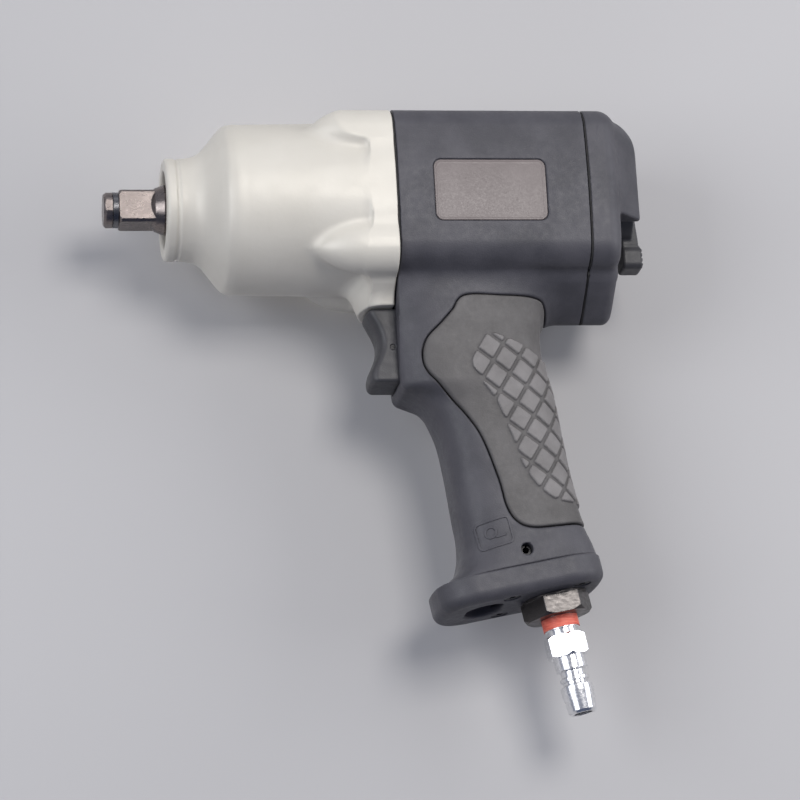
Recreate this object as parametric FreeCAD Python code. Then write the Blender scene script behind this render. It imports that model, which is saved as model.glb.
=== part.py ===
"""Half-inch pneumatic impact wrench, modelled in millimetres as an assembly of separate pieces.

Frame: +X runs along the drive axis from the square drive's end face towards the rear of the tool,
+Z is up, +Y completes the right-handed frame, so the handle points down and -Y is the tool's left side.
The origin is the centre of the square drive's end face.

Stations along X: square drive, nose with the anvil bushing, hammer chamber, motor, reverse valve.
The handle leans back, and its own frame (u rearwards, y across, w up the handle) starts where the
air inlet's axis meets the underside of the exhaust deflector.
"""
import FreeCAD
import Part

import math
import os

V = FreeCAD.Vector
X_AXIS = V(1, 0, 0)
Y_AXIS = V(0, 1, 0)
Z_AXIS = V(0, 0, 1)
ORIGIN = V(0, 0, 0)

# ---------------------------------------------------------------- driving dimensions
SEAT_GAP = 0.02          # radial gap of a piece seated in its bore
RUN_GAP = 0.06           # radial gap of a shaft that turns or slides in its bore

SQUARE_DRIVE = 12.7      # half-inch square, across flats
DRIVE_LENGTH = 18.0
JOURNAL_R = 9.5          # anvil journal in the nose bushing
NOSE_FACE_X = 22.5
NOSE_R = 19.5
BARREL_R = 32.5          # round part of the hammer case
CASE_REAR_X = 107.0      # joint face between hammer case and motor housing
GASKET = 0.6

BODY_HALF = 33.0         # half the height and width of the rounded-square motor body
BODY_SIDE_R = 160.0      # radius of its slightly convex sides
BODY_CORNER_R = 10.5
BOLT_OFFSET = 22.6       # sideways and upright distance of the four case bolts from the drive axis
BOLT_R = 2.5
BOLT_POCKET_R = 4.4
CHAMBER_R = 28.2         # hammer chamber
MOTOR_BORE_R = 28.0
HOUSING_X0 = CASE_REAR_X + GASKET
HOUSING_X1 = 180.0
COVER_X0 = HOUSING_X1 + GASKET
COVER_X1 = 192.5         # rear face of the cover without its hood
HOOD_X1 = 202.6

KEEL_HALF = 20.5         # the keel below the motor starts this wide and narrows to a rounded ridge
KEEL_START_Z = -33.0
KEEL_POINT_Z = -47.9     # where its two slopes would meet
KEEL_RIDGE_R = 6.0
GASKET_INSET = 0.35

HANDLE_LEAN = 10.5       # degrees that the handle leans back
HANDLE_X = 162.7         # where the inlet axis meets the deflector's underside
HANDLE_Z = -152.3
DEFLECTOR_T = 10.3

TRIGGER_Z = -57.4        # height of the trigger rod and the throttle valve
TRIGGER_TRAVEL = 6.5
TRIGGER_HALF = 9.5       # half its width
TRIGGER_TOP_Z = -42.4
TRIGGER_LOW_Z = -70.9
POD_BOTTOM_Z = -74.5
POD_FRONT_HALF = 12.4    # half width of the pod at its front, and of the hammer case's chin over the trigger
CHIN_Z = -41.9
POD_FRONT_X = 107.6      # face that the trigger slides into

BOLT_SEAT_X = COVER_X1 - 6.6
LEVER_R = 14.9           # reverse dial
HOOD_BORE_R = 15.4       # opening of the hood round the dial
LEVER_X0 = COVER_X1 + 0.9
PLUG_R = 6.0             # hose plug, largest diameter 12

os.makedirs("parts", exist_ok=True)


# ---------------------------------------------------------------- shape helpers
def rod(x0, x1, r, y=0.0, z=0.0):
    """A cylinder along X."""
    return Part.makeCylinder(r, x1 - x0, V(x0, y, z), X_AXIS)


def tube(x0, x1, outer, inner, y=0.0, z=0.0):
    return rod(x0, x1, outer, y, z).cut(rod(x0 - 1, x1 + 1, inner, y, z))


def cone(x0, x1, r0, r1, y=0.0, z=0.0):
    return Part.makeCone(r0, r1, x1 - x0, V(x0, y, z), X_AXIS)


def upright(w0, w1, r, u=0.0, y=0.0):
    """A cylinder along Z."""
    return Part.makeCylinder(r, w1 - w0, V(u, y, w0), Z_AXIS)


def crosswise(y0, y1, r, x, z):
    """A cylinder along Y."""
    return Part.makeCylinder(r, y1 - y0, V(x, y0, z), Y_AXIS)


def block(x0, x1, y0, y1, z0, z1):
    return Part.makeBox(x1 - x0, y1 - y0, z1 - z0, V(x0, y0, z0))


def turned(profile):
    """Turns a closed outline of (x, radius) points about the drive axis."""
    wire = Part.makePolygon([V(x, 0, r) for x, r in profile] + [V(profile[0][0], 0, profile[0][1])])
    return Part.Face(wire).revolve(ORIGIN, X_AXIS, 360)


def ring(x, major, minor, z=0.0):
    """A torus round the drive axis."""
    return Part.makeTorus(major, minor, V(x, 0, z), X_AXIS)


def fuse(shapes):
    return shapes[0].multiFuse(shapes[1:]).removeSplitter()


def cut(body, tools):
    for tool in tools:
        body = body.cut(tool)
    return body


def around(shape, count, start=0.0):
    """Copies of shape, evenly turned about the drive axis."""
    copies = []
    for i in range(count):
        copy = shape.copy()
        copy.rotate(ORIGIN, X_AXIS, start + 360.0 * i / count)
        copies.append(copy)
    return copies


def at_bolts(make):
    """make(y, z) at each of the four bolt places."""
    return [make(sy * BOLT_OFFSET, sz * BOLT_OFFSET) for sy in (-1, 1) for sz in (-1, 1)]


def on_handle(shape):
    """Moves a shape from the handle's own frame to the tool's frame."""
    moved = shape.copy()
    moved.Placement = FreeCAD.Placement(
        V(HANDLE_X, 0, HANDLE_Z), FreeCAD.Rotation(Y_AXIS, -HANDLE_LEAN)
    ).multiply(moved.Placement)
    return moved


def hexagon(across_flats, w0, w1, turn=0):
    """A hexagonal prism along Z with a corner towards +X, or turned from there by some degrees."""
    r = across_flats / math.sqrt(3)
    angles = [math.radians(60 * i + turn) for i in range(7)]
    points = [V(r * math.cos(a), r * math.sin(a), w0) for a in angles]
    return Part.Face(Part.makePolygon(points)).extrude(V(0, 0, w1 - w0))


def coil(x0, x1, radius, wire_r, turns, z=0.0):
    """A helical spring along X with its wire's ends inside x0 and x1."""
    length = x1 - x0 - 2 * wire_r
    path = Part.makeHelix(length / turns, length, radius)
    profile = Part.Wire(Part.makeCircle(wire_r, V(radius, 0, 0), Y_AXIS))
    spring = Part.Wire(path.Edges).makePipeShell([profile], True, True)
    spring.rotate(ORIGIN, Y_AXIS, 90)
    spring.translate(V(x0 + wire_r, 0, z))
    return spring


def save(name, shape):
    solids = shape.Solids
    kept = solids[0] if len(solids) == 1 else Part.makeCompound(solids)
    kept.exportStep(f"parts/{name}.step")
    print(f"{name}: {len(solids)} solid(s), valid {kept.isValid()}, {kept.Volume / 1000:.2f} cm3")


# ---------------------------------------------------------------- outlines of the body
def corner_centre(half):
    """Distance from the axis to a corner arc's centre, so that the arc meets both convex sides smoothly."""
    reach = BODY_SIDE_R - half
    span = BODY_SIDE_R - BODY_CORNER_R
    return (-2 * reach + math.sqrt(4 * reach**2 - 8 * (reach**2 - span**2))) / 4


def body_face(x, half=BODY_HALF):
    """The rounded square with slightly convex sides, in the plane at x."""
    b = corner_centre(half)
    reach = BODY_SIDE_R - half
    angle = math.atan2(b, b + reach)
    along = BODY_SIDE_R * math.cos(angle) - reach
    across = BODY_SIDE_R * math.sin(angle)
    middle = b + BODY_CORNER_R * math.sqrt(0.5)
    edges = []
    for quarter in range(4):
        c, s = round(math.cos(quarter * math.pi / 2)), round(math.sin(quarter * math.pi / 2))

        def place(y, z):
            return V(x, y * c - z * s, y * s + z * c)

        edges.append(Part.Arc(place(along, -across), place(half, 0), place(along, across)).toShape())
        edges.append(Part.Arc(place(along, across), place(middle, middle), place(across, along)).toShape())
    return Part.Face(Part.Wire(edges))


def body_prism(x0, x1, half=BODY_HALF):
    return body_face(x0, half).extrude(V(x1 - x0, 0, 0))


def keel_prism(x0, x1, inset=0.0):
    half = KEEL_HALF - inset
    point = KEEL_POINT_Z + inset
    outline = Part.makePolygon([
        V(x0, -half, -20), V(x0, -half, KEEL_START_Z), V(x0, 0, point), V(x0, half, KEEL_START_Z),
        V(x0, half, -20), V(x0, -half, -20)])
    keel = Part.Face(outline).extrude(V(x1 - x0, 0, 0))
    ridge = [e for e in keel.Edges if abs(e.BoundBox.ZMax - point) < 1e-6]
    return keel.makeFillet(KEEL_RIDGE_R, ridge)


def deep_body(x0, x1, inset=0.0):
    """The rounded square with the keel below it."""
    return body_prism(x0, x1, BODY_HALF - inset).fuse(keel_prism(x0, x1, inset)).removeSplitter()


# ---------------------------------------------------------------- handle shapes, in the handle's frame
# height w up the handle, front and back of the section, half its width
HANDLE_SECTIONS = (
    (DEFLECTOR_T, -41.5, 18.4, 20.2),
    (14.5, -35.3, 17.8, 19.6),
    (22.0, -31.4, 16.2, 19.0),
    (38.0, -29.7, 14.9, 18.7),
    (56.0, -28.5, 15.3, 18.8),
    (74.0, -29.6, 16.1, 19.4),
    (88.0, -33.4, 15.8, 20.0),
    (98.0, -37.5, 17.2, 20.4),
    (114.0, -41.0, 24.5, 20.4),
    (126.0, -42.0, 31.0, 20.4),
)
SECTION_POWER = 3.2      # 2 is an ellipse, more is squarer
SECTION_POINTS = 20


def handle_section(w, front, back, half, grow):
    """A closed smooth curve through points of a superellipse."""
    centre = (front + back) / 2
    a, b = (back - front) / 2 + grow, half + grow
    points = []
    for i in range(SECTION_POINTS):
        t = 2 * math.pi * i / SECTION_POINTS
        c, s = math.cos(t), math.sin(t)
        size = (abs(c) ** SECTION_POWER + abs(s) ** SECTION_POWER) ** (-1 / SECTION_POWER)
        points.append(V(centre + a * size * c, b * size * s, w))
    curve = Part.BSplineCurve()
    curve.interpolate(points, PeriodicFlag=True)
    return Part.Wire(curve.toShape())


def handle_loft(grow=0.0):
    wires = [handle_section(*section, grow) for section in HANDLE_SECTIONS]
    return on_handle(Part.makeLoft(wires, True, False))


def grip_outline():
    """The side view of the rubber grip, reaching past the back of the handle, in the tool's frame."""
    p = [V(x, 0, z) for x, z in (
        (131.5, -41.2), (164.5, -41.2), (165.3, -51.5), (182, -58), (196, -118), (196, -128), (172, -127.6),
        (155, -129.6), (143.2, -119), (136, -94.5), (118.5, -70.5), (119, -56.0), (126, -49.5))]
    edges = [Part.makeLine(p[i], p[i + 1]) for i in range(7)]
    edges += [
        Part.Arc(p[7], V(147.2, 0, -127.2), p[8]).toShape(),
        Part.makeLine(p[8], p[9]),
        Part.makeLine(p[9], p[10]),
        Part.Arc(p[10], V(115.8, 0, -63.5), p[11]).toShape(),
        Part.makeLine(p[11], p[12]),
        Part.makeLine(p[12], p[0]),
    ]
    return Part.Face(Part.Wire(edges))


def slot_prism(u0, u1, half_y, w0, w1):
    """An upright slot with round ends across the handle."""
    r = (u1 - u0) / 2
    middle = (u0 + u1) / 2
    straight = block(u0, u1, -(half_y - r), half_y - r, w0, w1)
    ends = [upright(w0, w1, r, middle, side * (half_y - r)) for side in (-1, 1)]
    return fuse([straight] + ends)


# where the deflector's screws stand, and front and back of the exhaust slot, in the handle's frame
DEFLECTOR_SCREWS = ((8.5, 12.8), (8.5, -12.8), (-18.5, 13.5), (-18.5, -13.5))
EXHAUST_SLOT = (-23.5, -13.5)


def deflector_plate(w0, w1):
    """The handle's base, a rounded rectangle with bowed ends."""
    front, back, half = -45.0, 18.8, 20.5
    r, bow = 13.0, 2.2
    edges = [
        Part.makeLine(V(front + r + bow, -half, w0), V(back - r - bow, -half, w0)),
        Part.Arc(V(back - r - bow, -half, w0), V(back - bow - r * 0.25, -half + r * 0.32, w0),
                 V(back - bow, -half + r, w0)).toShape(),
        Part.Arc(V(back - bow, -half + r, w0), V(back, 0, w0), V(back - bow, half - r, w0)).toShape(),
        Part.Arc(V(back - bow, half - r, w0), V(back - bow - r * 0.25, half - r * 0.32, w0),
                 V(back - r - bow, half, w0)).toShape(),
        Part.makeLine(V(back - r - bow, half, w0), V(front + r + bow, half, w0)),
        Part.Arc(V(front + r + bow, half, w0), V(front + bow + r * 0.25, half - r * 0.32, w0),
                 V(front + bow, half - r, w0)).toShape(),
        Part.Arc(V(front + bow, half - r, w0), V(front, 0, w0), V(front + bow, -half + r, w0)).toShape(),
        Part.Arc(V(front + bow, -half + r, w0), V(front + bow + r * 0.25, -half + r * 0.32, w0),
                 V(front + r + bow, -half, w0)).toShape(),
    ]
    return Part.Face(Part.Wire(edges)).extrude(V(0, 0, w1 - w0))


# ---------------------------------------------------------------- casings
BOSS_R = 9.9
BOSS_FULL_X = 95.0       # a bolt boss has its full radius from here to the flange
BOSS_TIP = 19.0          # length of its rounded tip
BOSS_POWER = 1.6


def boss_profile():
    """Outline of a bolt boss as (x, radius) points: a blunt rounded tip, then straight."""
    points = []
    for i in range(9):
        t = (1 - i / 8) ** 1.5
        points.append((BOSS_FULL_X - BOSS_TIP * t, BOSS_R * (1 - t**BOSS_POWER) ** (1 / BOSS_POWER)))
    return points + [(CASE_REAR_X, BOSS_R), (CASE_REAR_X, 0)]


def hammer_case():
    """Cast case: nose, shoulder, barrel, four bolt bosses, square flange and the lip over the trigger."""
    outer = turned([
        (NOSE_FACE_X, 0), (NOSE_FACE_X, 18.0), (NOSE_FACE_X + 1.5, NOSE_R), (27.0, NOSE_R),
        (27.3, NOSE_R - 0.3), (27.7, NOSE_R), (34.0, 20.0), (37.5, 21.6), (40.5, 25.4),
        (43.5, 29.6), (46.5, 31.6), (50.0, 32.2), (70.0, BARREL_R), (CASE_REAR_X, BARREL_R), (CASE_REAR_X, 0)])
    flange = body_prism(95, CASE_REAR_X, BODY_HALF - 0.3)
    boss_c = corner_centre(BODY_HALF)
    bosses = []
    for sy in (-1, 1):
        for sz in (-1, 1):
            boss = turned(boss_profile())
            boss.translate(V(0, sy * boss_c, sz * boss_c))
            bosses.append(boss)
    case = fuse([outer, flange, case_chin()] + bosses)
    hollow = turned([
        (20, 0), (20, 14.5), (28.5, 14.5), (28.5, 12.7 + SEAT_GAP), (50.0, 12.7 + SEAT_GAP),
        (50.0, 22.0), (54.0, CHAMBER_R), (110, CHAMBER_R), (110, 0)])
    screw_holes = at_bolts(lambda y, z: rod(84, 110, BOLT_R + SEAT_GAP, y, z))
    return cut(case, [hollow] + screw_holes)


def case_chin():
    """The case's lower end over the trigger: the keel's slopes, and a pointed chin that leans forwards."""
    slopes = keel_prism(96, CASE_REAR_X).common(block(90, 110, -30, 30, CHIN_Z, -20))
    h = POD_FRONT_HALF - 0.4
    edges = [
        Part.makeLine(V(120, -h, CHIN_Z), V(101, -h, CHIN_Z)),
        Part.Arc(V(101, -h, CHIN_Z), V(94.8, 0, CHIN_Z), V(101, h, CHIN_Z)).toShape(),
        Part.makeLine(V(101, h, CHIN_Z), V(120, h, CHIN_Z)),
        Part.makeLine(V(120, h, CHIN_Z), V(120, -h, CHIN_Z)),
    ]
    chin = Part.Face(Part.Wire(edges)).extrude(V(-5.0, 0, 13.0))
    return slopes.fuse(chin.common(block(80, CASE_REAR_X, -30, 30, -50, -20)))


def throttle_bore():
    return rod(116, 148.2, 8.5 + SEAT_GAP, 0, TRIGGER_Z)


def trigger_pocket():
    gap = 0.35
    return block(100, 117.5, -TRIGGER_HALF - gap, TRIGGER_HALF + gap, TRIGGER_LOW_Z - gap, TRIGGER_TOP_Z + gap)


def trigger_pod():
    """The front of the handle's root, which the trigger slides into."""
    edges = [
        Part.makeLine(V(POD_FRONT_X, 0, -36), V(POD_FRONT_X, 0, -72)),
        Part.Arc(V(POD_FRONT_X, 0, -72), V(108.8, 0, -73.9), V(110.6, 0, POD_BOTTOM_Z)).toShape(),
        Part.makeLine(V(110.6, 0, POD_BOTTOM_Z), V(132, 0, POD_BOTTOM_Z)),
        Part.makeLine(V(132, 0, POD_BOTTOM_Z), V(132, 0, -36)),
        Part.makeLine(V(132, 0, -36), V(POD_FRONT_X, 0, -36)),
    ]
    pod = Part.Face(Part.Wire(edges)).extrude(V(0, 2 * KEEL_HALF, 0))
    pod.translate(V(0, -KEEL_HALF, 0))
    one_side = [(POD_FRONT_X, POD_FRONT_HALF), (112, 15.4), (118, 18.1), (125, 19.5), (135, 19.6)]
    plan = one_side + [(x, -y) for x, y in reversed(one_side)] + one_side[:1]
    return pod.common(Part.Face(Part.makePolygon([V(x, y, -90) for x, y in plan])).extrude(V(0, 0, 60)))


def motor_housing():
    """Moulded body and handle in one piece, with the motor bore, valve bores and air passages."""
    b = BOLT_OFFSET
    handle = handle_loft().common(block(HOUSING_X0, 220, -40, 40, -170, 0))
    shell = fuse([deep_body(HOUSING_X0, HOUSING_X1), trigger_pod(), handle])
    shell = shell.cut(grip_space())
    plate_pocket = block(121.0, 164.0, -40, -BODY_HALF + 0.9, -15.3, 9.1)
    tools = [
        rod(100, 190, MOTOR_BORE_R),
        trigger_pocket(),
        throttle_bore(),
        plate_pocket,
        block(122, 152, -15, 15, -44.5, -20),
        on_handle(upright(-5, 26, 10.5 + SEAT_GAP)),
        on_handle(upright(20, 97, 7.0)),
        on_handle(slot_prism(*EXHAUST_SLOT, 9.0, 5, 66)),
        crosswise(-40, 40, 2.0 + SEAT_GAP, *lock_pin_xz()),
    ]
    tools += [on_handle(upright(5, 24, 1.6, u, y)) for u, y in DEFLECTOR_SCREWS]
    tools += [on_handle(upright(60, 112, 2.6, -15, side * 12)) for side in (-1, 1)]
    tools += at_bolts(lambda y, z: rod(100, 190, BOLT_R + 0.2, y, z))
    return cut(shell, tools)


def grip_space():
    """The room that the rubber grip fills: a skin of the handle inside the grip's side outline."""
    skin = handle_loft(0.5).cut(handle_loft(-2.2))
    outline = grip_outline()
    outline.translate(V(0, -30, 0))
    behind_trigger = block(100, 121, -14, 14, -90, -30)
    return skin.common(outline.extrude(V(0, 60, 0))).cut(behind_trigger)


def grip_sleeve():
    return grip_space()


def lock_pin_xz():
    """Where the cross pin that holds the inlet bushing runs, seen from the side."""
    spot = on_handle(Part.Vertex(-10.0, 0, 16.0)).Point
    return spot.x, spot.z


# station, half width and top of the hood round the reverse dial
HOOD_SECTIONS = (
    (187.0, 29.0, 29.2),
    (192.5, 27.2, 28.9),
    (199.4, 20.4, 27.4),
    (HOOD_X1, 17.6, 23.8),
)
HOOD_BOTTOM_Z = -10.2


def hood_section(x, half, top):
    """An arch: straight sides and a flat top joined by large corners."""
    r = 8.0
    k = r * (1 - math.sqrt(0.5))
    bottom = HOOD_BOTTOM_Z
    edges = [
        Part.makeLine(V(x, -half, bottom), V(x, -half, top - r)),
        Part.Arc(V(x, -half, top - r), V(x, -half + k, top - k), V(x, -half + r, top)).toShape(),
        Part.makeLine(V(x, -half + r, top), V(x, half - r, top)),
        Part.Arc(V(x, half - r, top), V(x, half - k, top - k), V(x, half, top - r)).toShape(),
        Part.makeLine(V(x, half, top - r), V(x, half, bottom)),
        Part.makeLine(V(x, half, bottom), V(x, -half, bottom)),
    ]
    return Part.Wire(edges)


def cover_blank():
    """The end cap and its hood before any bore is cut."""
    base = deep_body(COVER_X0, COVER_X1)
    rim = [e for e in base.Edges if abs(e.BoundBox.XMin - COVER_X1) < 1e-6]
    base = base.makeFillet(4.0, rim)
    hood = Part.makeLoft([hood_section(*section) for section in HOOD_SECTIONS], True, True)
    return fuse([base, hood])


def rear_cover():
    """End cap with a hood round the reverse dial, a valve bore and four bolt seats."""
    cover = cover_blank()
    face = COVER_X1 - 0.4
    tools = [
        rod(175, 183, 22.0),
        rod(175, 188.7, 9.0 + RUN_GAP),
        rod(186, 197, 4.0 + RUN_GAP),
        rod(face, 215, HOOD_BORE_R),
        block(face, 215, -HOOD_BORE_R, HOOD_BORE_R, -40, 0),
        rod(187.4, 194, 1.6, 0, 13.0),
    ]
    tools += at_bolts(lambda y, z: rod(170, 210, BOLT_R + 0.2, y, z))
    tools += at_bolts(lambda y, z: rod(BOLT_SEAT_X, 215, BOLT_POCKET_R, y, z))
    return cut(cover, tools)


def bolt_caps():
    """Two plugs that close the upper bolts' pockets flush with the hood."""
    blank = cover_blank()
    plug = [rod(BOLT_SEAT_X + 6.0, 215, BOLT_POCKET_R - SEAT_GAP, side * BOLT_OFFSET, BOLT_OFFSET) for side in (-1, 1)]
    return Part.makeCompound([blank.common(p) for p in plug])


def gasket(x0, deep):
    sheet = deep_body(x0, x0 + GASKET, GASKET_INSET)
    if not deep:
        sheet = sheet.common(block(x0, x0 + GASKET, -40, 40, CHIN_Z + GASKET_INSET, 40))
    return cut(sheet, [rod(x0 - 1, x0 + 2, MOTOR_BORE_R + 0.2)]
               + at_bolts(lambda y, z: rod(x0 - 1, x0 + 2, BOLT_R + 0.2, y, z)))


def exhaust_deflector():
    """Base of the handle: carries the exhaust opening, the felt and the hole for the inlet bushing."""
    plate = deflector_plate(0, DEFLECTOR_T - 0.02)
    rims = [e for e in plate.Edges if abs(e.BoundBox.ZMax) < 1e-6]
    plate = plate.makeFillet(4.6, rims)
    tools = [
        upright(-5, 15, 10.5 + SEAT_GAP + 0.1),
        slot_prism(*EXHAUST_SLOT, 9.0, 3.0, 15),
        slot_prism(-34.0, -20.0, 9.0, -2, 4),
    ]
    for u, y in DEFLECTOR_SCREWS:
        tools += [upright(-5, 15, 1.7, u, y), upright(-5, 3.0, 3.2, u, y)]
    return on_handle(cut(plate, tools))


def nameplate():
    plate = block(121.3, 163.7, -BODY_HALF + 0.2, -BODY_HALF + 0.9, -15.0, 8.8)
    corners = [e for e in plate.Edges if e.BoundBox.YLength > 0.5]
    return plate.makeFillet(2.2, corners)


# ---------------------------------------------------------------- impact mechanism
def anvil():
    """Square drive, journal, thrust collar and two hammer lobes on opposite sides."""
    half = SQUARE_DRIVE / 2
    square = block(0, DRIVE_LENGTH + 3, -half, half, -half, half)
    envelope = turned([
        (0, 0), (0, 5.9), (0.9, 6.7), (3.3, 6.7), (3.3, 5.1), (5.8, 5.1), (5.8, 7.6), (6.6, 8.3),
        (DRIVE_LENGTH + 3, 8.3), (DRIVE_LENGTH + 3, 0)])
    drive = square.common(envelope)
    shaft = turned([
        (DRIVE_LENGTH - 0.8, 0), (DRIVE_LENGTH - 0.8, 5.8), (DRIVE_LENGTH + 1.2, 8.2), (NOSE_FACE_X, JOURNAL_R),
        (51.0, JOURNAL_R), (51.0, 13.0), (55.5, 13.0), (55.5, 11.0), (60.7, 11.0), (60.7, 10.4),
        (90.7, 10.4), (90.7, 8.0), (94.2, 8.0), (94.2, 0)])
    lobes = [anvil_lobe(61.2, 75.3, 90), anvil_lobe(76.2, 90.3, 270)]
    return fuse([drive, shaft] + lobes)


def anvil_lobe(x0, x1, angle):
    """A hammered lobe, 44 degrees wide."""
    lobe = tube(x0, x1, 12.6, 9.0)
    wedge = Part.Face(Part.makePolygon([
        V(x0, 0, 0), V(x0, 20, -20 * math.tan(math.radians(22))),
        V(x0, 20, 20 * math.tan(math.radians(22))), V(x0, 0, 0)])).extrude(V(x1 - x0, 0, 0))
    lobe = lobe.common(wedge)
    lobe.rotate(ORIGIN, X_AXIS, angle)
    return lobe


def friction_ring():
    """Open spring ring in the drive's groove."""
    spring = tube(3.55, 5.55, 6.75, 5.75)
    return spring.cut(block(3, 6, -0.8, 0.8, 0, 9))


def hammer_cage():
    """Carrier for the two hammers: end plates joined by two side walls, splined to the rotor."""
    front = tube(56.0, 60.5, 27.6, 11.0 + RUN_GAP)
    rear = rod(91.0, 99.5, 27.6)
    wall = tube(60, 91.5, 27.6, 25.6)
    side = block(60, 91.5, -11.5, 11.5, 15, 30)
    cage = fuse([front, rear, wall.common(side), wall.common(side.mirror(ORIGIN, Z_AXIS))])
    tools = [rod(90, 94.4, 8.0 + RUN_GAP), rod(94, 100, 4.8 + RUN_GAP)]
    tools += around(block(94, 100, -1.1 - RUN_GAP, 1.1 + RUN_GAP, 0, 5.9 + RUN_GAP), 8)
    tools += [rod(58, 97.0, 3.0 + SEAT_GAP, 0, z) for z in (19.0, -19.0)]
    return cut(cage, tools)


def hammer_pins():
    return Part.makeCompound([rod(58.1, 96.9, 3.0, 0, z) for z in (19.0, -19.0)])


def hammer(x0, x1, pivot_side):
    """A hammer ring that rocks on one pin and has a notch round the other. pivot_side is +1 for the upper pin."""
    body = tube(x0, x1, 23.5, 14.6)
    pads = [block(x0, x1, side * 13.9 - 1.2, side * 13.9 + 1.2, -3.5, 3.5) for side in (-1, 1)]
    jaws = [pad.common(tube(x0, x1, 16, 13.0)) for pad in pads]
    body = fuse([body] + jaws)
    pivot = rod(x0 - 1, x1 + 1, 3.0 + RUN_GAP, 0, pivot_side * 19.0)
    notch = block(x0 - 1, x1 + 1, -6.9, 6.9, 15.6, 30)
    if pivot_side > 0:
        notch = notch.mirror(ORIGIN, Z_AXIS)
    return cut(body, [pivot, notch])


# ---------------------------------------------------------------- motor
FRONT_PLATE = (109.0, 119.0)
CYLINDER = (119.0, 165.0)
REAR_PLATE = (165.0, 175.0)
ROTOR_R = 20.8
BORE_R = 23.3
ECCENTRIC = 2.3
VANES = 6
FRONT_BEARING = {"x": 114.0, "width": 8.0, "bore": 6.0, "outer": 14.0, "pitch": 10.1, "ball": 2.2}
REAR_BEARING = {"x": 170.0, "width": 8.0, "bore": 5.0, "outer": 13.0, "pitch": 9.0, "ball": 2.0}


def bearing_outer(b):
    x0, x1 = b["x"] - b["width"] / 2, b["x"] + b["width"] / 2
    groove = ring(b["x"], b["pitch"], b["ball"] + RUN_GAP)
    return tube(x0, x1, b["outer"], b["pitch"] + 0.62 * b["ball"]).cut(groove)


def bearing_inner(b):
    x0, x1 = b["x"] - b["width"] / 2, b["x"] + b["width"] / 2
    groove = ring(b["x"], b["pitch"], b["ball"] + RUN_GAP)
    return tube(x0, x1, b["pitch"] - 0.62 * b["ball"], b["bore"] + SEAT_GAP).cut(groove)


def bearing_balls(b, count=8):
    ball = Part.makeSphere(b["ball"], V(b["x"], 0, b["pitch"]))
    return Part.makeCompound(around(ball, count))


def end_plate(span, b, opening):
    """A motor end plate with its bearing seat open towards the cylinder's far side."""
    x0, x1 = span
    seat0, seat1 = b["x"] - b["width"] / 2, b["x"] + b["width"] / 2
    plate = tube(x0, x1, MOTOR_BORE_R - SEAT_GAP, opening)
    seat = rod(seat0, seat1, b["outer"] + SEAT_GAP)
    port = rod(x0 - 1, x1 + 1, 1.5 + SEAT_GAP, 0, 25.0)
    return cut(plate, [seat, port])


def cylinder_liner():
    """Motor cylinder with an eccentric bore and exhaust ports at the bottom."""
    x0, x1 = CYLINDER
    liner = rod(x0, x1, MOTOR_BORE_R - SEAT_GAP)
    tools = [rod(x0 - 1, x1 + 1, BORE_R, 0, -ECCENTRIC), rod(x0 - 1, x1 + 1, 1.5 + SEAT_GAP, 0, 25.0)]
    tools += [Part.makeCylinder(3.0, 20, V(x, 0, -40), Z_AXIS) for x in (130, 138, 146)]
    return cut(liner, tools)


def rotor():
    """Slotted rotor with both bearing journals and the splined nose that drives the hammer cage."""
    x0, x1 = CYLINDER[0] + 0.2, CYLINDER[1] - 0.2
    body = rod(x0, x1, ROTOR_R)
    slots = around(block(x0 - 1, x1 + 1, -1.3, 1.3, 11.5, 30), VANES)
    body = cut(body, slots)
    front = rod(109.4, x0 + 1, FRONT_BEARING["bore"])
    nose = rod(94.6, 110, 4.8)
    teeth = [t.common(rod(94.6, 108, 5.9)) for t in around(block(94.6, 108, -1.1, 1.1, 3, 7), 8)]
    rear = rod(x1 - 1, 174.6, REAR_BEARING["bore"])
    return fuse([body, front, nose, rear] + teeth)


def rotor_vanes():
    x0, x1 = CYLINDER[0] + 0.3, CYLINDER[1] - 0.3
    return Part.makeCompound(around(block(x0, x1, -1.24, 1.24, 11.8, ROTOR_R - 0.2), VANES))


# ---------------------------------------------------------------- reverse valve and lever
def reverse_lever():
    """Dial with a finger tab pointing down, keyed to the valve's stem."""
    x0 = LEVER_X0
    dial = rod(x0, x0 + 8.2, LEVER_R)
    dial = dial.makeChamfer(0.7, [e for e in dial.Edges if abs(e.BoundBox.XMin - x0 - 8.2) < 1e-6])
    arm = Part.Face(Part.makePolygon([
        V(x0 + 4.0, -5.5, 0), V(x0 + 9.4, -5.5, 0), V(x0 + 10.8, -5.5, -18), V(x0 + 4.0, -5.5, -18),
        V(x0 + 4.0, -5.5, 0)])).extrude(V(0, 11.0, 0))
    tab = block(x0 + 4.0, x0 + 11.9, -5.8, 5.8, -25.1, -16.4)
    corners = [e for e in tab.Edges if e.BoundBox.XLength > 5 and e.BoundBox.ZMax < -25]
    tab = tab.makeFillet(3.0, corners)
    lever = fuse([dial, arm, tab])
    stem_hole = rod(x0 - 1, x0 + 5.0, 4.0 + SEAT_GAP).common(block(x0 - 1, x0 + 5, -5, 5, -5, 3.0))
    track = tube(x0 - 1, x0 + 0.8, 14.2, 11.6).common(block(x0 - 1, x0 + 1, -12, 12, 4, 20))
    return cut(lever, [stem_hole, rod(x0 + 4, x0 + 12, 2.1), rod(x0 + 7.0, x0 + 12, 4.2), track])


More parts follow.
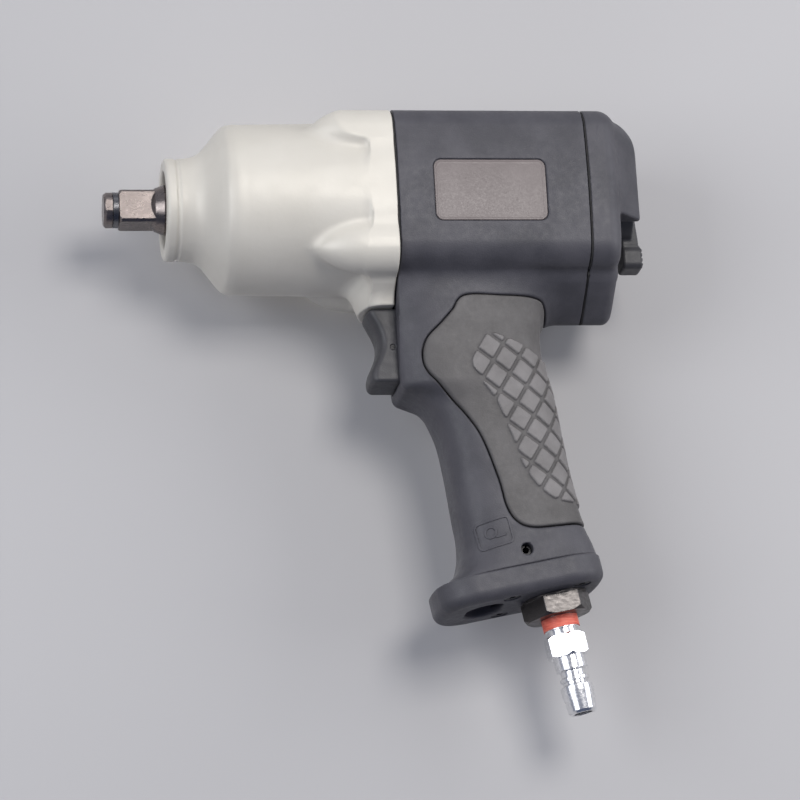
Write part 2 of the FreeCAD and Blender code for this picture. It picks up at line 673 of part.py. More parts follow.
def reverse_valve():
    """Rotary valve: a drum with two crescent ports, and the keyed stem."""
    drum = rod(182.2, 188.5, 9.0)
    ports = [rod(181, 184.6, 2.4, side * 5.2, 0) for side in (-1, 1)]
    stem = rod(188, LEVER_X0 + 4.9, 4.0).cut(block(LEVER_X0 - 0.2, 203, -5, 5, 3.0 - SEAT_GAP, 5))
    groove = tube(185.0, 187.2, 10, 7.8)
    return cut(fuse([drum, stem]), ports + [groove, rod(191.0, 203, 1.6)])


def lever_screw():
    seat = LEVER_X0 + 7.1
    head = rod(seat, seat + 2.4, 3.9).cut(hexagon_x(2.5, seat + 1.0, seat + 3))
    return fuse([head, rod(191.2, seat + 0.2, 1.55)])


def hexagon_x(across_flats, x0, x1, y=0.0, z=0.0):
    """A hexagonal prism along X."""
    r = across_flats / math.sqrt(3)
    points = [V(x0, y + r * math.cos(math.radians(60 * i)), z + r * math.sin(math.radians(60 * i))) for i in range(7)]
    return Part.Face(Part.makePolygon(points)).extrude(V(x1 - x0, 0, 0))


# ---------------------------------------------------------------- trigger and throttle
def trigger():
    """Finger-shaped trigger with a concave front."""
    top, low = TRIGGER_TOP_Z, TRIGGER_LOW_Z
    edges = [
        Part.makeLine(V(110.0, 0, top), V(99.0, 0, top)),
        Part.Arc(V(99.0, 0, top), V(97.2, 0, top - 0.5), V(96.6, 0, top - 2.0)).toShape(),
        Part.Arc(V(96.6, 0, top - 2.0), V(101.0, 0, -55.5), V(97.4, 0, low + 5.0)).toShape(),
        Part.Arc(V(97.4, 0, low + 5.0), V(97.0, 0, low + 1.7), V(99.4, 0, low)).toShape(),
        Part.makeLine(V(99.4, 0, low), V(110.0, 0, low)),
        Part.makeLine(V(110.0, 0, low), V(110.0, 0, top)),
    ]
    body = Part.Face(Part.Wire(edges)).extrude(V(0, 2 * TRIGGER_HALF, 0))
    body.translate(V(0, -TRIGGER_HALF, 0))
    body = body.common(trigger_plan())
    return cut(body, [
        rod(102.0, 112, 2.5 + SEAT_GAP, 0, TRIGGER_Z),
        crosswise(-12, 12, 1.0 + SEAT_GAP, 106.0, TRIGGER_Z)])


def trigger_plan():
    """The trigger seen from above: straight sides and a rounded front."""
    h = TRIGGER_HALF
    edges = [
        Part.makeLine(V(112, -h, -80), V(102.0, -h, -80)),
        Part.Arc(V(102.0, -h, -80), V(97.9, -h * 0.78, -80), V(96.5, 0, -80)).toShape(),
        Part.Arc(V(96.5, 0, -80), V(97.9, h * 0.78, -80), V(102.0, h, -80)).toShape(),
        Part.makeLine(V(102.0, h, -80), V(112, h, -80)),
        Part.makeLine(V(112, h, -80), V(112, -h, -80)),
    ]
    return Part.Face(Part.Wire(edges)).extrude(V(0, 0, 50))


def trigger_rod():
    stem = rod(102.1, 126.4, 2.5, 0, TRIGGER_Z)
    return stem.cut(crosswise(-12, 12, 1.0 + SEAT_GAP, 106.0, TRIGGER_Z))


def throttle_bushing():
    """Valve seat sleeve: guide bore for the rod, seat, spring chamber and side ports."""
    body = rod(117.6, 148.0, 8.5, 0, TRIGGER_Z)
    tools = [
        rod(117, 119.2, 4.6, 0, TRIGGER_Z),
        rod(117, 127, 2.5 + RUN_GAP, 0, TRIGGER_Z),
        rod(122.5, 133.2, 4.4, 0, TRIGGER_Z),
        rod(133.2, 147, 6.6, 0, TRIGGER_Z),
        Part.makeCylinder(2.6, 30, V(129.0, 0, TRIGGER_Z), Z_AXIS),
        Part.makeCylinder(4.5, 30, V(142.2, 0, TRIGGER_Z - 30), Z_AXIS),
    ]
    return cut(body, tools)


def throttle_poppet():
    """Valve disc that the rod pushes off its seat, with a pilot for the spring."""
    return fuse([
        rod(126.5, 133.4, 2.2, 0, TRIGGER_Z), rod(133.3, 135.6, 5.9, 0, TRIGGER_Z), rod(135.5, 137.4, 2.2, 0, TRIGGER_Z)])


# ---------------------------------------------------------------- air inlet
def inlet_bushing():
    """Steel bushing with a hexagon below the handle, a taper-thread bore and a groove for the lock pin."""
    hexagon_part = hexagon(23.0, -8.0, -0.9).common(
        fuse([Part.makeCone(11.9, 13.2, 1.3, V(0, 0, -8.0)), upright(-6.7, -0.9, 13.2)]))
    shank = fuse([upright(-1.0, 24.0, 10.5), upright(-1.0, -0.05, 12.2)])
    body = fuse([hexagon_part, shank])
    pin_groove = upright(13.9, 18.1, 14).cut(upright(13, 19, 7.98))
    seal_groove = upright(19.6, 22.4, 14).cut(upright(19, 23, 8.9))
    tools = [upright(-9, 6.3, 6.6), upright(6, 19.0, 6.2), upright(18.5, 25, 5.2), pin_groove, seal_groove]
    return on_handle(cut(body, tools))


def inlet_screen():
    """Perforated cup in the bushing's bore."""
    cup = upright(8.0, 18.4, 6.1).cut(upright(7, 17.6, 5.5))
    holes = [upright(17, 19, 0.7, 3.2 * math.cos(math.radians(60 * i)), 3.2 * math.sin(math.radians(60 * i)))
             for i in range(6)]
    holes.append(upright(17, 19, 0.7))
    return on_handle(cut(cup, holes))


def lock_pin():
    x, z = lock_pin_xz()
    pin = crosswise(-16.5, 16.5, 2.0, x, z).cut(crosswise(-20, 20, 1.2, x, z))
    return pin.cut(block(x - 0.35, x + 0.35, -20, 20, z, z + 3))


def thread_tape():
    return on_handle(upright(-12.4, -8.1, 6.85).cut(upright(-14, -7, 6.5)))


def quick_plug():
    """Push-in hose plug: taper thread, hexagon, locking groove and tapered tip."""
    profile = [
        (6.2, 0), (6.2, 6.2), (-7.7, 6.45), (-12.8, 6.45), (-12.8, 5.7), (-15.0, 5.7), (-15.0, 0)]
    head = turned_upright(profile)
    nut = hexagon(14.0, -23.2, -15.0, 30).common(fuse([
        Part.makeCone(7.2, 8.1, 0.9, V(0, 0, -23.2)), upright(-22.3, -15.9, 8.1),
        Part.makeCone(8.1, 7.2, 0.9, V(0, 0, -15.9))]))
    stem = turned_upright([
        (-23.1, 0), (-23.1, PLUG_R), (-28.2, PLUG_R), (-28.8, 4.6), (-30.8, 4.6), (-31.2, 5.4), (-32.4, 5.4),
        (-32.8, 4.6), (-33.6, 4.6), (-34.4, PLUG_R), (-36.4, PLUG_R), (-43.8, 5.3), (-44.7, 4.6), (-44.7, 0)])
    body = fuse([head, nut, stem])
    return on_handle(body.cut(upright(-60, 10, 3.6)))


def turned_upright(profile):
    """Turns a closed outline of (w, radius) points about the inlet axis."""
    wire = Part.makePolygon([V(r, 0, w) for w, r in profile] + [V(profile[0][1], 0, profile[0][0])])
    return Part.Face(wire).revolve(ORIGIN, Z_AXIS, 360)


# ---------------------------------------------------------------- fasteners and small parts
def case_bolt(y, z):
    seat = BOLT_SEAT_X
    head = rod(seat + 0.9, seat + 5.7, 4.2, y, z).cut(hexagon_x(4.0, seat + 3.2, seat + 8, y, z))
    return fuse([head, rod(86.5, seat + 1.0, BOLT_R, y, z)])


def bolt_washer(y, z):
    return tube(BOLT_SEAT_X + 0.02, BOLT_SEAT_X + 0.88, 4.3, BOLT_R + 0.1, y, z)


def deflector_screw(u, y):
    head = upright(0.4, 2.98, 2.9, u, y)
    socket = hexagon(2.5, -1, 1.8)
    socket.translate(V(u, y, 0))
    return on_handle(fuse([head, upright(2.9, 22.0, 1.55, u, y)]).cut(socket))


def build():
    save("hammer_case", hammer_case())
    save("motor_housing", motor_housing())
    save("grip_sleeve", grip_sleeve())
    save("rear_cover", rear_cover())
    save("front_gasket", gasket(CASE_REAR_X, False))
    save("rear_gasket", gasket(HOUSING_X1, True))
    save("exhaust_deflector", exhaust_deflector())
    save("exhaust_felt", on_handle(slot_prism(EXHAUST_SLOT[0] + 0.1, EXHAUST_SLOT[1] - 0.1, 8.9, 4.2, 12.0)))
    save("nameplate", nameplate())

    save("anvil", anvil())
    save("friction_ring", friction_ring())
    save("friction_cushion", tube(3.6, 5.5, 5.6, 5.12))
    save("anvil_bushing", tube(28.6, 49.4, 12.7, JOURNAL_R + RUN_GAP))
    save("nose_seal", tube(25.2, 28.4, 14.4, JOURNAL_R + 0.1))
    save("thrust_washer", tube(50.05, 50.9, 17.0, JOURNAL_R + 0.2))
    save("hammer_cage", hammer_cage())
    save("hammer_pins", hammer_pins())
    save("front_hammer", hammer(61.0, 75.5, +1))
    save("rear_hammer", hammer(76.0, 90.5, -1))

    save("front_end_plate", end_plate(FRONT_PLATE, FRONT_BEARING, 9.4))
    save("cylinder_liner", cylinder_liner())
    save("rear_end_plate", end_plate(REAR_PLATE, REAR_BEARING, 8.4))
    save("cylinder_dowel", rod(111.0, 174.0, 1.5, 0, 25.0))
    save("rotor", rotor())
    save("rotor_vanes", rotor_vanes())
    save("front_bearing_outer", bearing_outer(FRONT_BEARING))
    save("front_bearing_inner", bearing_inner(FRONT_BEARING))
    save("front_bearing_balls", bearing_balls(FRONT_BEARING))
    save("rear_bearing_outer", bearing_outer(REAR_BEARING))
    save("rear_bearing_inner", bearing_inner(REAR_BEARING))
    save("rear_bearing_balls", bearing_balls(REAR_BEARING))

    save("reverse_lever", reverse_lever())
    save("reverse_valve", reverse_valve())
    save("valve_seal", ring(186.1, 8.4, 0.56))
    save("lever_screw", lever_screw())
    save("detent_ball", Part.makeSphere(1.5, V(192.65, 0, 12.9)))
    save("detent_spring", coil(187.5, 191.1, 1.1, 0.25, 3, 13.0))

    save("trigger", trigger())
    save("trigger_rod", trigger_rod())
    save("trigger_pin", crosswise(-9.0, 9.0, 1.0, 106.0, TRIGGER_Z))
    save("throttle_bushing", throttle_bushing())
    save("rod_seal", tube(117.8, 119.0, 4.4, 2.5 + RUN_GAP, 0, TRIGGER_Z))
    save("throttle_poppet", throttle_poppet())
    save("throttle_spring", coil(135.7, 146.8, 4.2, 0.5, 5, TRIGGER_Z))

    save("inlet_bushing", inlet_bushing())
    save("inlet_seal", on_handle(Part.makeTorus(9.65, 0.7, V(0, 0, 21.0))))
    save("inlet_screen", inlet_screen())
    save("inlet_lock_pin", lock_pin())
    save("thread_tape", thread_tape())
    save("quick_plug", quick_plug())

    save("case_bolts", Part.makeCompound(at_bolts(case_bolt)))
    save("bolt_washers", Part.makeCompound(at_bolts(bolt_washer)))
    save("bolt_caps", bolt_caps())
    save("deflector_screws", Part.makeCompound([deflector_screw(u, y) for u, y in DEFLECTOR_SCREWS]))


build()
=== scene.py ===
"""Looks of the half-inch pneumatic impact wrench.

The CAD frame is in metres, and every length in this script is in millimetres until it becomes a mesh.
Moulded and cast pieces are rebuilt here as smooth shapes: each is a field, a function of the point that is
negative inside, and skin() turns a field into a mesh. Turned and ground steel keeps its CAD mesh.
Frame: +X from the square drive to the rear, +Z up, -Y the tool's left side, which the camera looks at.
"""
import math

import bpy
import numpy as np
from mathutils import Matrix, Vector


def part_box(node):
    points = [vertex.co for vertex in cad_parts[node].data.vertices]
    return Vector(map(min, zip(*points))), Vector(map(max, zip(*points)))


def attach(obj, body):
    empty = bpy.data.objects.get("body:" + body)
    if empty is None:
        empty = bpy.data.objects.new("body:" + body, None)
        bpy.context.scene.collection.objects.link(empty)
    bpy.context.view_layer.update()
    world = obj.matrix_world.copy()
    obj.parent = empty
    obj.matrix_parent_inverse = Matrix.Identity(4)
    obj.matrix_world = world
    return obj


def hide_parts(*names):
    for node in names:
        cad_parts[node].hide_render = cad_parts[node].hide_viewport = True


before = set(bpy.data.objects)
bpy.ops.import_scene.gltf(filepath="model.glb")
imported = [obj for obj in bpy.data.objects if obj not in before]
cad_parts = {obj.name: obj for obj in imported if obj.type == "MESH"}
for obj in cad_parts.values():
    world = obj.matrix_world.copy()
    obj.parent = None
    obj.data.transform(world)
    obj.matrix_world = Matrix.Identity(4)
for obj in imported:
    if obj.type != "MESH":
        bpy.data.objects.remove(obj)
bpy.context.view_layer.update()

MM = 0.001


def box_mm(node):
    low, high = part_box(node)
    return np.array(low) / MM, np.array(high) / MM


# ---------------------------------------------------------------- driving dimensions, from the frame
CASE_LOW, CASE_HIGH = box_mm("hammer_case")
COVER_LOW, COVER_HIGH = box_mm("rear_cover")
PLATE_LOW, PLATE_HIGH = box_mm("nameplate")
DIAL_LOW, DIAL_HIGH = box_mm("reverse_lever")
TRIGGER_LOW, TRIGGER_HIGH = box_mm("trigger")
NOSE_X = CASE_LOW[0]
CASE_X1 = CASE_HIGH[0]
HOUSING_X0 = CASE_X1 + 0.6
HOUSING_X1 = COVER_LOW[0] - 0.6
COVER_X0 = COVER_LOW[0]
COVER_X1 = 192.5
HOOD_X1 = COVER_HIGH[0]
BODY_HALF = CASE_HIGH[2]
SIDE_R = 160.0
CORNER_R = 7.2
BOLT_OFFSET = 22.6
KEEL_HALF = 20.5
KEEL_LOW = COVER_LOW[2]
HANDLE_LEAN = math.radians(10.5)
HANDLE_X, HANDLE_Z = 162.7, -152.3
DEFLECTOR_T = 10.3
TRIGGER_Z = -57.4
MOTOR_BORE_R = 28.0


# ---------------------------------------------------------------- field helpers
def soft_min(a, b, k):
    h = np.maximum(k - np.abs(a - b), 0) / k
    return np.minimum(a, b) - h * h * k / 4


def soft_max(a, b, k):
    return -soft_min(-a, -b, k)


def without(a, b, k=0.5):
    """a with b cut away, its new edges softened by k."""
    return soft_max(a, -b, k)


def corner(a, b, r):
    """Where a and b are both inside, their shared edge rounded to radius r."""
    return np.minimum(np.maximum(a, b) + r, 0) + np.hypot(np.maximum(a + r, 0), np.maximum(b + r, 0)) - r


def between(t, low, high):
    return np.maximum(low - t, t - high)


def plane_box(u, v, half_u, half_v, r):
    return corner(np.abs(u) - half_u, np.abs(v) - half_v, r)


def ramp(t, low, high):
    """0 before low, 1 after high, and smooth between."""
    s = np.clip((t - low) / (high - low), 0, 1)
    return s * s * (3 - 2 * s)


class Curve:
    """A smooth function through a few (place, value) points."""

    def __init__(self, *points):
        t = np.array([p[0] for p in points], float)
        v = np.array([p[1] for p in points], float)
        slope = np.gradient(v, t)
        self.t = np.linspace(t[0], t[-1], 400)
        i = np.clip(np.searchsorted(t, self.t) - 1, 0, len(t) - 2)
        h = t[i + 1] - t[i]
        s = (self.t - t[i]) / h
        self.v = (
            (2 * s**3 - 3 * s**2 + 1) * v[i] + (s**3 - 2 * s**2 + s) * h * slope[i]
            + (3 * s**2 - 2 * s**3) * v[i + 1] + (s**3 - s**2) * h * slope[i + 1])

    def __call__(self, t):
        return np.interp(t, self.t, self.v)


def closed_spline(points, per_span=12):
    """Points along a smooth closed curve through the given ones."""
    p = np.array(points, float)
    a, b, c, d = np.roll(p, 1, 0), p, np.roll(p, -1, 0), np.roll(p, -2, 0)
    s = np.linspace(0, 1, per_span, endpoint=False)[None, :, None]
    a, b, c, d = (q[:, None, :] for q in (a, b, c, d))
    curve = b + 0.5 * s * (c - a + s * (2 * a - 5 * b + 4 * c - d + s * (3 * (b - c) + d - a)))
    return curve.reshape(-1, 2)


class Outline:
    """Signed distance to a closed smooth outline in a plane, negative inside, kept on a fine grid."""

    STEP = 0.25

    def __init__(self, points, margin=12.0):
        line = closed_spline(points)
        self.low = line.min(0) - margin
        count = np.ceil((line.max(0) + margin - self.low) / self.STEP).astype(int) + 1
        u = self.low[0] + self.STEP * np.arange(count[0])[:, None]
        v = self.low[1] + self.STEP * np.arange(count[1])[None, :]
        best = np.full((count[0], count[1]), 1e9)
        inside = np.zeros(best.shape, bool)
        for (u0, v0), (u1, v1) in zip(line, np.roll(line, -1, 0)):
            du, dv = u1 - u0, v1 - v0
            t = np.clip(((u - u0) * du + (v - v0) * dv) / (du * du + dv * dv + 1e-12), 0, 1)
            best = np.minimum(best, (u - u0 - t * du) ** 2 + (v - v0 - t * dv) ** 2)
            if dv:
                crossing = ((v0 > v) != (v1 > v)) & (u < u0 + (v - v0) * du / dv)
                inside ^= crossing
        self.grid = np.sqrt(best) * np.where(inside, -1, 1)

    def __call__(self, u, v):
        a = np.clip((u - self.low[0]) / self.STEP, 0, self.grid.shape[0] - 1.001)
        b = np.clip((v - self.low[1]) / self.STEP, 0, self.grid.shape[1] - 1.001)
        i, j = a.astype(int), b.astype(int)
        s, t = a - i, b - j
        g = self.grid
        return (g[i, j] * (1 - s) + g[i + 1, j] * s) * (1 - t) + (g[i, j + 1] * (1 - s) + g[i + 1, j + 1] * s) * t


# ---------------------------------------------------------------- from field to mesh
BLOCK = 4


def sample(field, low, step, blocks):
    """The field on a grid, worked out only in blocks that may touch the surface."""
    size = step * BLOCK
    axes = [low[k] + size * (np.arange(blocks[k]) + 0.5) for k in range(3)]
    centre = np.stack(np.meshgrid(*axes, indexing="ij"), -1).reshape(-1, 3)
    coarse = field(*centre.T).reshape(blocks)
    near = np.abs(coarse) < size * 1.7
    shape = [n * BLOCK + 1 for n in blocks]
    grid = np.ones(shape, np.float32)
    sign = np.where(coarse < 0, -1.0, 1.0)
    grid[:-1, :-1, :-1] = sign.repeat(BLOCK, 0).repeat(BLOCK, 1).repeat(BLOCK, 2)
    wanted = np.zeros(shape, bool)
    for offset in np.ndindex(2, 2, 2):
        view = wanted[tuple(slice(o, o + n * BLOCK) for o, n in zip(offset, blocks))]
        view |= near.repeat(BLOCK, 0).repeat(BLOCK, 1).repeat(BLOCK, 2)
    index = np.nonzero(wanted)
    points = [low[k] + step * index[k] for k in range(3)]
    grid[index] = field(*points)
    return grid


def surface_cells(grid):
    """Cells that the surface crosses, and one vertex in each, in grid units."""
    corners = list(np.ndindex(2, 2, 2))
    view = {c: grid[tuple(slice(o, o + n - 1) for o, n in zip(c, grid.shape))] for c in corners}
    inside = sum((view[c] < 0).astype(np.int8) for c in corners)
    cells = np.nonzero((inside > 0) & (inside < 8))
    value = {c: view[c][cells].astype(float) for c in corners}
    total = np.zeros((len(cells[0]), 3))
    count = np.zeros(len(cells[0]))
    for a in corners:
        for k in range(3):
            if a[k]:
                continue
            b = tuple(1 if m == k else a[m] for m in range(3))
            va, vb = value[a], value[b]
            crossed = (va < 0) != (vb < 0)
            t = np.where(crossed, va / np.where(crossed, va - vb, 1), 0)
            place = np.array(a, float)[None, :].repeat(len(t), 0)
            place[:, k] = t
            total += place * crossed[:, None]
            count += crossed
    return cells, np.stack(cells, 1) + total / count[:, None]


def quads_of(grid, cells):
    """Four cells round each grid edge that the surface crosses."""
    number = np.full([n - 1 for n in grid.shape], -1, np.int64)
    number[cells] = np.arange(len(cells[0]))
    quads = []
    for k in range(3):
        first = [slice(1, n - 1) for n in grid.shape]
        second = list(first)
        first[k] = slice(0, grid.shape[k] - 1)
        second[k] = slice(1, grid.shape[k])
        a, b = grid[tuple(first)] < 0, grid[tuple(second)] < 0
        where = np.array(np.nonzero(a != b))
        flip = a[tuple(where)]
        for m in range(3):
            if m != k:
                where[m] += 1
        p, q = [m for m in range(3) if m != k]
        ring = []
        for dp, dq in ((1, 1), (0, 1), (0, 0), (1, 0)):
            cell = where.copy()
            cell[p] -= dp
            cell[q] -= dq
            ring.append(number[tuple(cell)])
        ring = np.stack(ring, 1)
        if k == 1:
            flip = ~flip
        ring[~flip] = ring[~flip][:, ::-1]
        quads.append(ring)
    return np.concatenate(quads)


def slope_of(field, p, reach):
    """The field's gradient at points p."""
    slope = np.empty_like(p)
    for k in range(3):
        more, less = p.copy(), p.copy()
        more[:, k] += reach
        less[:, k] -= reach
        slope[:, k] = (field(*more.T) - field(*less.T)) / (2 * reach)
    return slope


def settle(field, p, step, rounds=3):
    """Moves points onto the field's zero surface."""
    for _ in range(rounds):
        slope = slope_of(field, p, step * 0.15)
        move = -field(*p.T)[:, None] * slope / np.maximum((slope**2).sum(1), 0.05)[:, None]
        length = np.linalg.norm(move, axis=1)[:, None]
        p = p + move * np.minimum(1, 0.45 * step / np.maximum(length, 1e-9))
    return p


def mesh_from(name, points, quads, normals=None):
    mesh = bpy.data.meshes.new(name)
    mesh.vertices.add(len(points))
    mesh.vertices.foreach_set("co", (points * MM).astype(np.float32).ravel())
    mesh.loops.add(quads.size)
    mesh.loops.foreach_set("vertex_index", quads.astype(np.int32).ravel())
    mesh.polygons.add(len(quads))
    mesh.polygons.foreach_set("loop_start", np.arange(0, quads.size, quads.shape[1], dtype=np.int32))
    mesh.polygons.foreach_set("use_smooth", np.ones(len(quads), bool))
    mesh.update(calc_edges=True)
    if normals is not None:
        mesh.normals_split_custom_set_from_vertices(normals.astype(np.float32))
    return mesh


def piece(name, mesh, body, material, slot, *nodes):
    """An object made from a mesh, riding on a body and standing for CAD nodes."""
    obj = bpy.data.objects.new(name, mesh)
    bpy.context.scene.collection.objects.link(obj)
    mesh.materials.append(material)
    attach(obj, body)
    if nodes:
        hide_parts(*nodes)
    return obj


def skin(name, field, low, high, step):
    """A mesh on the field's zero surface, with normals from the field's slope."""
    low = np.array(low, float) - step * 2.37
    blocks = tuple(int(math.ceil((high[k] + step * 2 - low[k]) / (step * BLOCK))) for k in range(3))
    grid = sample(field, low, step, blocks)
    cells, places = surface_cells(grid)
    quads = quads_of(grid, cells)
    points = settle(field, low + step * places, step)
    slope = slope_of(field, points, step * 0.3)
    normals = slope / np.maximum(np.linalg.norm(slope, axis=1), 1e-9)[:, None]
    return mesh_from(name, points, quads, normals)


# ---------------------------------------------------------------- shapes of the body
def to_handle(x, z):
    """The handle's own frame: u rearwards, w up the handle."""
    c, s = math.cos(HANDLE_LEAN), math.sin(HANDLE_LEAN)
    dx, dz = x - HANDLE_X, z - HANDLE_Z
    return dx * c + dz * s, -dx * s + dz * c


def from_handle(u, w):
    c, s = math.cos(HANDLE_LEAN), math.sin(HANDLE_LEAN)
    return HANDLE_X + u * c - w * s, HANDLE_Z + u * s + w * c


def body_round(y, z, half=BODY_HALF):
    """Rounded square with slightly convex sides, a little fuller towards its top."""
    reach = SIDE_R - half
    z = z - 0.8 * ramp(z, 8.0, 22.0)
    dy = np.hypot(np.abs(y) + reach, z) - SIDE_R
    dz = np.hypot(np.abs(z) + reach, y) - SIDE_R
    return corner(dy, dz, CORNER_R)


KEEL_SLOPE = math.atan2(14.9, KEEL_HALF)
KEEL_POINT = -48.4


def deep_section(y, z):
    """The rounded square and the keel below it, whose two slopes meet in a rounded ridge."""
    slope = (KEEL_POINT - z) * math.cos(KEEL_SLOPE) + np.hypot(y, 3.0) * math.sin(KEEL_SLOPE)
    keel = corner(slope, np.abs(y) - KEEL_HALF, 3.0)
    return soft_min(body_round(y, z), np.maximum(keel, z + 10.0), 3.0)


# height up the handle and front, back, half width there
HANDLE_FRONT = Curve((8, -43.5), (11, -40.5), (14.5, -35.5), (19, -32.6), (26, -30.6), (38, -29.7), (56, -28.6),
                     (68, -28.6), (80, -31.2), (90, -34.6), (104, -38.0), (120, -41.0))
HANDLE_BACK = Curve((8, 18.6), (14.5, 17.8), (22, 16.2), (38, 14.9), (56, 15.4), (74, 16.2), (86, 15.8), (96, 17.0),
                    (104, 19.8), (114, 24.6), (126, 31.0))
HANDLE_HALF = Curve((8, 20.3), (14.5, 19.7), (22, 19.0), (38, 18.7), (56, 18.8), (74, 19.4), (88, 20.0), (120, 20.4))
SECTION_POWER = 3.2


def handle_parts(x, y, z):
    u, w = to_handle(x, z)
    front, back, half = HANDLE_FRONT(w), HANDLE_BACK(w), HANDLE_HALF(w)
    return u, w, (front + back) / 2, (back - front) / 2, half


def handle_solid(x, y, z):
    u, w, middle, a, b = handle_parts(x, y, z)
    m = (np.abs((u - middle) / a) ** SECTION_POWER + np.abs(y / b) ** SECTION_POWER) ** (1 / SECTION_POWER)
    return soft_max((m - 1) * b, DEFLECTOR_T - w, 0.8)


POD_HALF = Curve((106, 11.4), (HOUSING_X0, 12.4), (112, 15.4), (117, 17.6), (122, 18.6), (130, 18.2), (142, 14.5), (156, 6.0))


def trigger_pod(x, y, z):
    """The block at the handle's root that the trigger slides into."""
    plan = np.maximum((np.abs(y) - POD_HALF(x)) * 0.85, between(x, HOUSING_X0, 156.0))
    upright = corner(-74.5 - z, HOUSING_X0 - x, 2.8)
    return corner(corner(plan, upright, 1.8), z + 30.0, 1.0)


def body_outer(x, y, z):
    """Motor body, keel, trigger block and handle as one flowing solid, before anything is cut."""
    barrel = np.maximum(deep_section(y, z), between(x, HOUSING_X0, HOUSING_X1))
    root = soft_min(handle_solid(x, y, z), trigger_pod(x, y, z), 8.0)
    root = np.maximum(root, z + 25.0)
    root = np.maximum(root, HOUSING_X0 - x)
    return soft_min(barrel, root, 6.0)


GRIP_OUTLINE = Outline([
    (132.2, -41.2), (147, -40.8), (160.3, -41.0), (164.0, -43.0), (165.3, -47.0), (166.0, -51.5),
    (170.5, -54.0), (182, -57.0), (196, -80), (202, -122),
    (190, -127.0), (172.6, -127.6), (162.7, -129.1), (153.3, -129.8), (147.6, -127.7), (143.9, -121.9),
    (141.3, -110.5), (135.2, -93.1), (125.6, -79.5), (117.6, -70.3), (115.6, -64.0), (117.3, -57.6),
    (122.6, -52.0), (127.2, -47.0)])


def bolt_lines(x, y, z, r):
    return np.hypot(np.abs(y) - BOLT_OFFSET, np.abs(z) - BOLT_OFFSET) - r


def tilted_bore(x, y, z, r, w0, w1, u0=0.0, y0=0.0):
    u, w = to_handle(x, z)
    return np.maximum(np.hypot(u - u0, np.abs(y) - y0) - r, between(w, w0, w1))


def plate_pocket(x, y, z, grow):
    middle = (PLATE_LOW + PLATE_HIGH) / 2
    half = (PLATE_HIGH - PLATE_LOW) / 2 + grow
    return plane_box(x - middle[0], z - middle[2], half[0], half[2], 3.0)


EMBLEM_U, EMBLEM_W = -20.3, 24.4
LOCK_PIN_U, LOCK_PIN_W = -10.0, 16.0


def emblem_marks(u, w):
    """A plain generic mark: a rounded frame round a small ring and bar."""
    du, dw = u - EMBLEM_U, w - EMBLEM_W - 0.08 * (u - EMBLEM_U)
    border = np.abs(plane_box(du, dw, 6.3, 5.0, 1.6)) - 0.42
    ring = np.abs(np.hypot(du + 1.2, dw - 0.6) - 2.0) - 0.42
    bar = plane_box(du - 2.2, dw + 1.6, 2.0, 0.45, 0.2)
    return np.minimum(border, np.minimum(ring, bar))


def housing_field(x, y, z):
    outer = body_outer(x, y, z)
    ends = between(x, HOUSING_X0, HOUSING_X1)
    shell = corner(outer, np.where(z > KEEL_LOW - 1, ends, -9.0), 0.5)
    grip_room = soft_max(GRIP_OUTLINE(x, z) - 0.45, -(outer + 2.1), 0.4)
    shell = without(shell, grip_room, 0.9)
    pocket = np.maximum(plate_pocket(x, y, z, 0.22), body_round(y, z) * -1 - 0.75)
    shell = without(shell, np.maximum(pocket, y), 0.5)
    shell = without(shell, np.hypot(y, z) - MOTOR_BORE_R, 0.4)
    pocket = np.maximum(plane_box(y, z + 56.65, 9.9, 14.65, 1.2), between(x, 100, 117.5))
    shell = without(shell, pocket, 0.6)
    throttle = np.maximum(np.hypot(y, z - TRIGGER_Z) - 8.52, between(x, 116, 148.2))
    shell = without(shell, throttle, 0.3)
    shell = without(shell, bolt_lines(x, y, z, 2.7), 0.3)
    u, w = to_handle(x, z)
    passages = [
        np.maximum(np.hypot(u, y) - 10.52, between(w, 0, 26)),
        np.maximum(np.hypot(u, y) - 7.0, between(w, 20, 97)),
        np.maximum(plane_box(u + 18.5, y, 5.0, 9.0, 4.9), between(w, 0, 66)),
        np.maximum(np.hypot(u + 15, np.abs(y) - 12) - 2.6, between(w, 60, 112)),
        np.hypot(u - LOCK_PIN_U, w - LOCK_PIN_W) - 2.25,
        np.maximum(np.hypot(u + 18.5, np.abs(y) - 13.5) - 1.6, between(w, 0, 24)),
        np.maximum(np.hypot(u - 8.5, np.abs(y) - 12.8) - 1.6, between(w, 0, 24)),
        np.maximum(plane_box(x - 137, y, 15, 15, 2), between(z, -44.5, -20)),
    ]
    for passage in passages:
        shell = without(shell, passage, 0.35)
    return shell


# ---------------------------------------------------------------- grip
QUARTER = np.linspace(0, math.pi, 241)


def section_path():
    """Distance along the handle's section from its side to its back, per scaled angle, in half-depths."""
    c, s = np.cos(QUARTER), np.sin(QUARTER)
    size = (np.abs(c) ** SECTION_POWER + np.abs(s) ** SECTION_POWER) ** (-1 / SECTION_POWER)
    u, y = size * c, 0.82 * size * s
    length = np.concatenate([[0], np.cumsum(np.hypot(np.diff(u), np.diff(y)))])
    middle = np.interp(math.pi / 2, QUARTER, length)
    return middle - length


PATH = section_path()
PAD_STEP = (5.06, 5.78)
PAD_WIDTH = 7.6
PAD_GAP = 0.95
PAD_RISE = 0.75
PAD_PLACE = (-5.5, 93.9)
PAD_AREA = Outline([
    (-5.5, 99.5), (-10, 95.5), (-12.9, 90.5), (-12.6, 84), (-9.9, 78.6), (-7.4, 72.5), (-5.9, 63.2), (-4.7, 56.5),
    (-3.9, 48.4), (-2.2, 42.5), (1.2, 36.2), (7, 31.6), (20, 30), (44, 30), (50, 58), (44, 84), (22, 86),
    (13, 88.2), (8, 92), (2.4, 95.8)])


